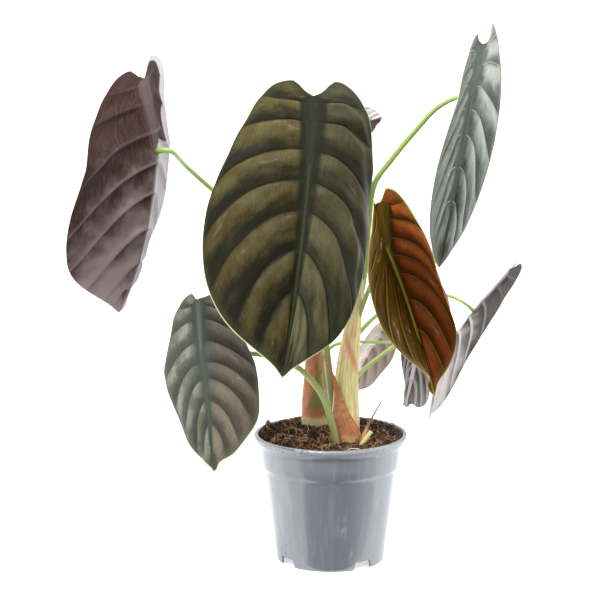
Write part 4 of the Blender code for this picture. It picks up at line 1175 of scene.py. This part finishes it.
def cataphyll_mesh(name, values, rows=48, columns=64):
    """Closed thin scale: each ring crosses the outer face and comes back across the inner face."""
    up, across = np.meshgrid(np.linspace(0, 1, rows), np.linspace(-1, 1, columns), indexing="ij")
    outer, inner = (cataphyll_sheet(values, across, up, layer) for layer in (SCALE_OUT, SCALE_IN))
    rings = np.concatenate((outer, inner[:, ::-1]), axis=1)
    kept = {"growth": there_and_back(np.stack((across * 3, up * 0.2, up), axis=2))}
    return ring_mesh(name, rings, (rings[0].mean(0), rings[-1].mean(0)), kept)


# %% Papery finish
def papery_finish(name, dark, light, veil, dark_spot, strip_share):
    """Dry paper: fibres, pale clouds and dark spots, with an olive strip up one side and a pale foot."""
    finish, tree, shader = start_finish(name, 0.55)
    growth = stored(tree, "growth", "Vector")
    across, thin, up = axes_of(tree, growth)
    place = object_place(tree)
    fibres = mottle(tree, growth, 2.2, 4.0, 0.6, (7.0, 3.0, 0.6))
    clouds = mottle(tree, place, 55.0, 4.0, 0.6)
    colour = cover(tree, dark, light, fibres, 0.35, 0.65)
    colour = cover(tree, colour, veil, clouds, 0.50, 0.66, 0.8)
    colour = cover(tree, colour, dark_spot, mottle(tree, place, 240.0, 3.0, 0.6), 0.56, 0.70, 0.6)
    from_strip = reckon(tree, "MULTIPLY_ADD", up, -9.0, across)
    strip = product(tree, fade(tree, from_strip, -2.8, -2.2, 0.0, strip_share), fade(tree, up, 0.14, 0.24))
    colour = blend_colours(tree, strip, colour, (0.17, 0.155, 0.042))
    colour = cover(tree, colour, (0.56, 0.52, 0.24), up, 0.14, 0.06, strip_share)
    complete(tree, shader, colour, reckon(tree, "ADD", fibres, clouds), 0.35)
    return finish


SCALE_COLOURS = ((0.30, 0.080, 0.026), (0.57, 0.23, 0.09), (0.52, 0.36, 0.15), (0.15, 0.045, 0.018))
for name, values in CATAPHYLLS.items():
    papery = papery_finish("papery " + name, *SCALE_COLOURS, 1.0 if name == "cataphyll_back" else 0.0)
    add_piece(cataphyll_mesh("scale_" + name, values), [papery], name)

# %% [markdown]
# ## Dried spike and cut stub
# Beside the front stem stands the dried end of an old stalk, drawn out to a dark point, and in front of
# it the pale stub of a stalk that was cut off. Both are tubes like the stalks, with radii of their own
# along the way.

# %% Spike and stub
def short_tube(name, points, count, places, radii):
    """Tube through a few points whose radius is known at some shares of its length."""
    return tube_mesh(name, smooth_route(points, count), np.interp(np.linspace(0, 1, count), places, radii))


spike_path = ((23.5, -21.5, 86), (24, -20.5, 98), (28.5, -16, 110), (34, -12, 119.5), (39.5, -9, 128.5))
spike = short_tube("dried_tip", spike_path, 40, (0, 0.35, 0.5, 0.65, 1), (1.5, 1.9, 1.3, 0.8, 0.5))
spike_finish = stalk_finish("dried spike", (0.47, 0.19, 0.067), (0.59, 0.28, 0.11), (0.44, 0.15, 0.057),
                            tip_share=0.85)
add_piece(spike, [spike_finish], "dried_spike")

stub_path = ((20, -29.5, 84), (22, -28, 95), (31, -24, 108))
stub = short_tube("pale_stub", stub_path, 24, (0, 0.5, 1), (2.1, 1.9, 1.7))
stub_finish = stalk_finish("pale stub", (0.44, 0.47, 0.17), (0.57, 0.59, 0.30), (0.44, 0.46, 0.17))
add_piece(stub, [stub_finish], "cut_stub")

# %% [markdown]
# ## Pot
# The pot is a thin moulded shell: a turned profile with a rolled rim, a step below it, and a foot ring
# with four gaps. The rings of the helper become circles round the pot's axis here. The gaps could be cut
# with a boolean, but lifting the foot's lower edge as a smooth function of the angle gives the drafted
# sides that a mould leaves.

# %% Pot profile
POT_TOP = 101.0
RIM_RADIUS = 60.0
RIM_INNER = 56.6
LIP_HEIGHT = 5.0
WALL = 1.3
STEP_HEIGHT = 75.0
FOOT_RADIUS = 42.0
FOOT_HEIGHT = 8.0
DISC_RADIUS = 20.0


def floor_profile(lift):
    """Inside of the pot's floor and wall, raised or drawn in by lift."""
    wall_foot = FOOT_RADIUS - WALL - lift
    floor_top = FOOT_HEIGHT + WALL
    return [(DISC_RADIUS - 1 - lift, WALL + lift), (DISC_RADIUS + 3 - lift, floor_top + lift),
            (wall_foot - 0.4, floor_top + lift), (wall_foot + 0.6, floor_top + 2), (45.7 - lift, 37),
            (49.7 - lift, 67), (51.1 - lift, STEP_HEIGHT - 0.6 + lift),
            (52.8 - lift, STEP_HEIGHT + 1.4 + lift)]


def pot_profile():
    """Radius and height of the pot's skin, from the floor inside, over the rim, and down to the foot."""
    inside = floor_profile(0.0) + [
        (53.9, 94.2), (55.6, 96.4), (RIM_INNER, 98.0), (RIM_INNER + 0.2, POT_TOP - 0.8),
        (RIM_INNER + 0.5, POT_TOP - 0.2)]
    lip_foot = POT_TOP - LIP_HEIGHT
    rim = [(RIM_INNER + 1.1, POT_TOP), (RIM_RADIUS - 1.4, POT_TOP), (RIM_RADIUS - 0.5, POT_TOP - 0.4),
           (RIM_RADIUS, POT_TOP - 1.2), (RIM_RADIUS - 0.1, lip_foot + 1.0), (RIM_RADIUS - 0.7, lip_foot),
           (RIM_RADIUS - 1.6, lip_foot - 0.3), (55.6, lip_foot - 0.6)]
    outside = [(55.0, 86), (54.3, STEP_HEIGHT + 2.2), (53.6, STEP_HEIGHT + 0.6), (52.8, STEP_HEIGHT - 0.6),
               (52.2, STEP_HEIGHT - 1.6), (51.0, 67), (47.0, 37), (FOOT_RADIUS + 0.9, FOOT_HEIGHT),
               (FOOT_RADIUS + 0.15, 1.2), (FOOT_RADIUS - 0.2, 0.25), (FOOT_RADIUS - 0.6, 0)]
    under = [(FOOT_RADIUS - 1.3, 0), (FOOT_RADIUS - 1.6, 0.5), (FOOT_RADIUS - 1.8, FOOT_HEIGHT),
             (DISC_RADIUS + 4.2, FOOT_HEIGHT), (DISC_RADIUS, 0.4), (DISC_RADIUS - 0.5, 0)]
    return np.array(inside + rim + outside + under, float)


# %% Pot mesh
FOOT_COUNT = 4
FOOT_GAP_DEG = 21.0
FOOT_TURN_DEG = -8.5
GAP_FLANK_DEG = 1.2
FOOT_LEFT = 1.4


def denser(profile, longest):
    """The same profile with long stretches divided evenly, so that no face is a long strip."""
    parts = np.maximum(np.ceil(np.linalg.norm(np.diff(profile, axis=0), axis=1) / longest).astype(int), 1)
    place = np.concatenate([k + np.arange(n) / n for k, n in enumerate(parts)] + [[len(profile) - 1.0]])
    return np.stack([np.interp(place, np.arange(len(profile)), profile[:, k]) for k in range(2)], axis=1)


def foot_lift(angle):
    """Lift of the foot's lower edge at an angle: none on the four feet, nearly the whole foot in gaps."""
    quarter = 360 / FOOT_COUNT
    gap_middle = FOOT_TURN_DEG + quarter / 2 - 90
    away = np.abs((np.degrees(angle) - gap_middle + quarter / 2) % quarter - quarter / 2)
    side = np.clip((FOOT_GAP_DEG / 2 + GAP_FLANK_DEG - away) / (2 * GAP_FLANK_DEG), 0, 1)
    return (FOOT_HEIGHT - FOOT_LEFT) * side * side * (3 - 2 * side)


def pot_mesh(sides=360):
    """Closed shell: the profile turned round the axis, its lowest points lifted in the foot's gaps."""
    profile = denser(pot_profile(), 6.0)
    angle = circle_angles(sides)
    radius, height = (np.broadcast_to(profile[:, k:k + 1], (len(profile), sides)) for k in (0, 1))
    on_foot = radius > FOOT_RADIUS - 2
    lifted = np.where(on_foot, np.maximum(height, foot_lift(angle)[None, :]), height)
    radius = radius + np.where(on_foot & (height < FOOT_HEIGHT), (lifted - height) * 0.11, 0.0)
    return ring_mesh("pot_shell", round_axis(radius, angle, lifted), ((0, 0, WALL), (0, 0, 0)), {})


# %% [markdown]
# ## Drain holes
# A nursery pot lets its water out through a ring of round holes in the floor. A hole can't be a stack of
# rings, so here a boolean is the simpler way: eight short tubes are taken out of the finished shell.

# %% Drain holes
DRAIN_COUNT = 8
DRAIN_RADIUS = 3.5
DRAIN_CIRCLE = 32.0


def drill_drains(mesh):
    """The same mesh with a ring of round holes through the pot's floor, cut by tubes of the helper above."""
    pot = put_in_scene("pot to drill", mesh)
    drills = []
    for k in range(DRAIN_COUNT):
        turn = 2 * math.pi * k / DRAIN_COUNT
        route = round_axis(DRAIN_CIRCLE, turn, FOOT_HEIGHT + np.array((-2.0, 0.0, 2.0, 4.0)))
        drill = put_in_scene("drill", tube_mesh("drill", route, np.full(4, DRAIN_RADIUS), 20))
        cut = pot.modifiers.new("hole", "BOOLEAN")
        cut.operation = "DIFFERENCE"
        cut.object = drill
        drills.append(drill)
    drilled = bpy.data.meshes.new_from_object(pot.evaluated_get(bpy.context.evaluated_depsgraph_get()))
    drilled.name = "moulded_pot"
    for item in drills + [pot]:
        bpy.data.objects.remove(item)
    return drilled


# %% [markdown]
# ## Pot finish
# Moulded polypropylene is satin with a slight orange-peel, faint vertical drag lines from the mould, a
# few scuffs, dust of growing medium on the rim, and dark specks of it low on the left. All of it is
# small, because a clean pot seen from a step away is nearly one colour, and its look comes from the soft
# boxes mirrored in its sides.

# %% Pot finish
def pot_finish(name):
    """Satin grey-blue plastic, with the marks that stand in the text above."""
    finish, tree, shader = start_finish(name, 0.24, 0.75)
    shader.inputs["IOR"].default_value = 1.8
    place = object_place(tree)
    across, depth, up = axes_of(tree, place)
    drag = mottle(tree, place, 1.0, 2.0, 0.5, (220.0, 220.0, 9.0))
    scuffs = mottle(tree, place, 1.0, 5.0, 0.7, (60.0, 60.0, 24.0))
    cloud = mottle(tree, place, 28.0, 3.0, 0.5)
    peel = mottle(tree, place, 900.0, 2.0, 0.5)
    grey = cover(tree, (0.086, 0.101, 0.121), (0.096, 0.112, 0.134), cloud, 0.3, 0.7)
    grey = cover(tree, grey, (0.125, 0.142, 0.166), drag, 0.45, 0.75, 0.9)
    grey = cover(tree, grey, (0.22, 0.24, 0.26), scuffs, 0.65, 0.72, 0.6)
    on_rim = fade(tree, up, 0.094, 0.097)
    grey = blend_colours(tree, product(tree, on_rim, 0.35), grey, (0.22, 0.24, 0.27))
    dust = mottle(tree, place, 420.0, 4.0, 0.65)
    dust = reckon(tree, "SUBTRACT", dust, fade(tree, up, 0.085, 0.100, 0.72, 0.58))
    dust = product(tree, fade(tree, dust, 0.0, 0.03), on_rim)
    grey = blend_colours(tree, dust, grey, (0.10, 0.050, 0.026))
    specks = fade(tree, mottle(tree, place, 330.0, 3.0, 0.6), 0.62, 0.64)
    near_foot = fade(tree, up, 0.055, 0.010)
    at_left = fade(tree, across, -0.028, -0.036)
    grey = blend_colours(tree, product(tree, specks, near_foot, at_left), grey, (0.020, 0.013, 0.010))
    join(tree, fade(tree, scuffs, 0.3, 0.8, 0.14, 0.26), shader.inputs["Roughness"])
    complete(tree, shader, grey, reckon(tree, "ADD", peel, drag), 0.02)
    return finish


add_piece(drill_drains(pot_mesh()), [pot_finish("pot plastic")], "pot")

# %% [markdown]
# ## Growing medium
# The medium fills the pot to a low mound. Its top is a disc of fine rings lifted by seeded waves: long
# ones make lumps, which calm down beside the stems and the wall, and short ones make it crumbly. Loose
# litter leans against the wall. Thousands of separate crumbs would be closer to the real heap, but a few
# thousand fibres over a rough surface look the same from a step away and stay light.

# %% Height of the medium
SOIL_TOP = 95.0
SOIL_MOUND = 2.0
SOIL_LUMP = 1.3 * 0.38
SOIL_CRUMB = 0.32
BACK_MOUND = 2.6
LITTER_LEFT = 4.5
LITTER_AT_WALL = 3.0
STEM_PLACES = (((11, -11), 11.6), ((-11, 33), 10.6))


def seeded_waves(x, y, seed, count, pitches, weakening):
    """Sum of waves with seeded directions, pitches and phases, each divided by a power of its pitch."""
    rng = np.random.default_rng(seed)
    total = np.zeros_like(x)
    for _ in range(count):
        turn = rng.uniform(0, 2 * math.pi)
        pitch = rng.uniform(*pitches)
        phase = rng.uniform(0, 2 * math.pi)
        along = x * math.cos(turn) + y * math.sin(turn)
        total = total + np.cos(pitch * along + phase) / pitch ** weakening
    return total


def medium_top(x, y, quiet=1.0):
    """Height of the medium: mound and lumps, and litter at the wall and crumbs where quiet isn't 0."""
    radius = np.hypot(x, y)
    calm = np.clip((53.0 - radius) / 4, 0.15, 1)
    for (stem_x, stem_y), stem_radius in STEM_PLACES:
        calm = calm * np.clip((np.hypot(x - stem_x, y - stem_y) - stem_radius - 2) / 5, 0, 1)
    back = np.exp(-((x + 11) ** 2 + (y - 33) ** 2) / 400)
    mound = SOIL_TOP + SOIL_MOUND + BACK_MOUND * back
    lumps = SOIL_LUMP * calm * seeded_waves(x, y, 7, 14, (0.10, 0.34), 0)
    left = np.exp(-((x + 49) / 7) ** 2 - ((y - 12) / 12) ** 2)
    at_wall = np.clip((radius - 42) / 10, 0, 1) ** 2 * np.clip(np.sin(np.arctan2(y, x)) + 0.85, 0, 1)
    crumbs = SOIL_CRUMB * seeded_waves(x, y, 21, 40, (0.7, 2.4), 1)
    litter = LITTER_LEFT * left + LITTER_AT_WALL * at_wall
    return mound + lumps + litter * quiet ** 0.3 + crumbs * quiet


# %% Medium mesh
WALL_GAP = 0.3
SOIL_EDGE = 55.2


def soil_mesh(sides=220):
    """Closed body: up from the floor along the wall, and a top of fine rings at the height formula."""
    floor_disc = [(DISC_RADIUS - 1 - WALL_GAP, WALL + WALL_GAP)]
    lower = np.array(floor_disc + floor_profile(WALL_GAP)[1:] + [(53.4, SOIL_TOP - 1), (SOIL_EDGE, 96.6)])
    angle = circle_angles(sides)[None, :]
    low_rings = round_axis(lower[:, :1], angle, lower[:, 1:])
    top = np.linspace(55.0, 0.8, 66)[:, None]
    top_rings = round_axis(top, angle, 0.0)
    quiet = np.clip((SOIL_EDGE - top) / 3, 0, 1)
    top_rings[..., 2] = medium_top(top_rings[..., 0], top_rings[..., 1], quiet)
    rings = np.concatenate((low_rings, top_rings))
    return ring_mesh("growing_medium", rings, ((0, 0, WALL + WALL_GAP), top_rings[-1].mean(0)), {})


def medium_finish(name):
    """Dark brown crumbs with lighter bits, darker and lighter in clumps, and a rough relief."""
    finish, tree, shader = start_finish(name, 0.9)
    place = object_place(tree)
    coarse = mottle(tree, place, 260.0, 5.0, 0.65)
    fine = mottle(tree, place, 900.0, 4.0, 0.6)
    brown = cover(tree, (0.008, 0.004, 0.0025), (0.046, 0.017, 0.007), coarse, 0.36, 0.62)
    brown = cover(tree, brown, (0.13, 0.060, 0.028), fine, 0.55, 0.72, 0.6)
    brown = scaled(tree, brown, fade(tree, mottle(tree, place, 85.0, 3.0, 0.6), 0.42, 0.58, 0.35, 1.4))
    complete(tree, shader, brown, reckon(tree, "ADD", coarse, fine), 1.2)
    return finish


add_piece(soil_mesh(), [medium_finish("growing medium")], "soil")

# %% [markdown]
# ## Coir fibres
# A fibre is a bent hair with a three-sided section, and all of them are worked out together: one array
# holds every fibre's middle, direction, bend and thickness. A particle system could scatter them with
# less writing, but it makes no mesh of its own that can be kept.

# %% Coir fibres
FIBRE_POINTS = 5
FIBRE_REACH = 53.5
LITTER_LIMIT = 54.6


def scattered(rng, count, reach):
    """Seeded radii and angles of count places, even over a disc."""
    return reach * np.sqrt(rng.uniform(0, 1, count)), rng.uniform(0, 2 * math.pi, count)


def litter_mesh(name, points, quads, others, tone):
    """One mesh of many loose bodies with the same faces: a row of points and a tone for each."""
    count, size = points.shape[:2]
    starts = np.arange(count)[:, None, None] * size
    quads = (quads[None] + starts).reshape(-1, quads.shape[1])
    others = (others[None] + starts).reshape(-1, others.shape[1])
    mesh = closed_mesh(name, points.reshape(-1, 3), quads, others)
    store(mesh, "tone", np.repeat(tone, size))
    return mesh


def fibre_mesh(name, count, seed, length_range, radius_range, rise):
    """Thin bent fibres lying on the medium: each is five triangles of points along a bowed line."""
    rng = np.random.default_rng(seed)
    radius, around = scattered(rng, count, FIBRE_REACH)
    heading = rng.uniform(0, 2 * math.pi, count)
    length = rng.uniform(*length_range, count)[:, None]
    bend = rng.normal(0, 0.5, count)
    tilt = rng.normal(0, rise, count)
    along = np.linspace(-0.5, 0.5, FIBRE_POINTS)[None, :]
    turn = heading[:, None] + bend[:, None] * along * 2
    x = (radius * np.cos(around))[:, None] + length * along * np.cos(turn)
    y = (radius * np.sin(around))[:, None] + length * along * np.sin(turn)
    inside = np.minimum(1.0, LITTER_LIMIT / np.maximum(np.hypot(x, y), 1e-6))
    x = x * inside
    y = y * inside
    hump = (0.25 - along ** 2) * length * np.abs(rng.normal(0, 0.35, count))[:, None]
    z = medium_top(x, y) + 0.15 + hump + tilt[:, None] * along * length
    corner = np.array((0, 2, 4)) * math.pi / 3
    thick = rng.uniform(*radius_range, count)[:, None] * (1 - 1.5 * along ** 2)
    across = np.stack((-np.sin(turn), np.cos(turn), np.zeros_like(turn)), axis=2)
    ring = across[:, :, None] * np.cos(corner)[:, None] + np.array((0, 0, 1.0)) * np.sin(corner)[:, None]
    points = np.stack((x, y, z), axis=2)[:, :, None] + ring * thick[:, :, None, None]
    quads = ring_faces(FIBRE_POINTS, 3)[0]
    caps = np.array(((2, 1, 0), (12, 13, 14)))
    return litter_mesh(name, points.reshape(count, -1, 3), quads, caps, rng.uniform(0, 1, count))


# %% Fibre finish
def litter_finish(name, dark, middle, light):
    """Dry plant fibre: each fibre keeps one tone between dark and light, with fine streaks."""
    finish, tree, shader = start_finish(name, 0.8)
    tone = stored(tree, "tone")
    place = object_place(tree)
    streak = mottle(tree, place, 700.0, 2.0, 0.5)
    colour = cover(tree, dark, middle, tone, 0.0, 0.55)
    colour = cover(tree, colour, light, tone, 0.6, 1.0)
    colour = scaled(tree, colour, fade(tree, mottle(tree, place, 85.0, 3.0, 0.6), 0.42, 0.58, 0.45, 1.3))
    colour = cover(tree, colour, dark, streak, 0.4, 0.7, 0.4)
    complete(tree, shader, colour, streak, 0.2)
    return finish


coir = litter_finish("coir fibre", (0.012, 0.005, 0.003), (0.088, 0.029, 0.010), (0.21, 0.088, 0.031))
golden = litter_finish("golden fibre", (0.22, 0.095, 0.032), (0.45, 0.25, 0.10), (0.75, 0.55, 0.30))
add_piece(fibre_mesh("coir_fibres", 2200, 3, (4, 12), (0.10, 0.28), 0.10), [coir])
add_piece(fibre_mesh("golden_fibres", 420, 11, (8, 22), (0.20, 0.40), 0.16), [golden])

# %% [markdown]
# ## Bark chips
# Between the fibres lie crooked flakes of bark. Each is a six-sided slab with seeded corners, tipped at a
# seeded slant. Scanned bark would be richer, but at 2 mm across only its outline and tilt show.

# %% Bark chips
CHIP_REACH = 53.0
CHIP_CORNERS = 6


def chip_mesh(name, count, seed):
    """Flat crooked chips of bark that lie at a slant on the medium: each is a six-sided slab of its own."""
    rng = np.random.default_rng(seed)
    radius, around = scattered(rng, count, CHIP_REACH)
    size = rng.uniform(1.0, 3.2, count) * np.clip((55.0 - radius) / 3, 0.4, 1)
    middle = round_axis(radius, around, 0.0)
    middle[:, 2] = medium_top(middle[:, 0], middle[:, 1]) + 0.3
    normal = unit(np.stack((rng.normal(0, 0.45, count), rng.normal(0, 0.45, count), np.ones(count)), axis=1))
    heading = rng.uniform(0, 2 * math.pi, count)
    across = unit(np.cross(normal, round_axis(1.0, heading, 0.0)))
    along = np.cross(across, normal)
    corner = circle_angles(CHIP_CORNERS)
    reach = rng.uniform(0.6, 1.2, (count, CHIP_CORNERS)) * size[:, None]
    rim = (np.cos(corner) * reach)[..., None] * along[:, None] * 1.5
    rim = rim + (np.sin(corner) * reach * 0.7)[..., None] * across[:, None]
    rise = (normal * rng.uniform(0.25, 0.6, (count, 1)))[:, None]
    points = np.concatenate((middle[:, None] + rim - rise, middle[:, None] + rim * 0.9 + rise), axis=1)
    quads = ring_faces(2, CHIP_CORNERS)[0]
    lids = np.stack((np.arange(CHIP_CORNERS)[::-1], CHIP_CORNERS + np.arange(CHIP_CORNERS)))
    return litter_mesh(name, points, quads, lids, rng.uniform(0, 1, count))


bark = litter_finish("bark", (0.010, 0.006, 0.004), (0.055, 0.022, 0.010), (0.15, 0.065, 0.028))
add_piece(chip_mesh("bark_chips", 420, 17), [bark])
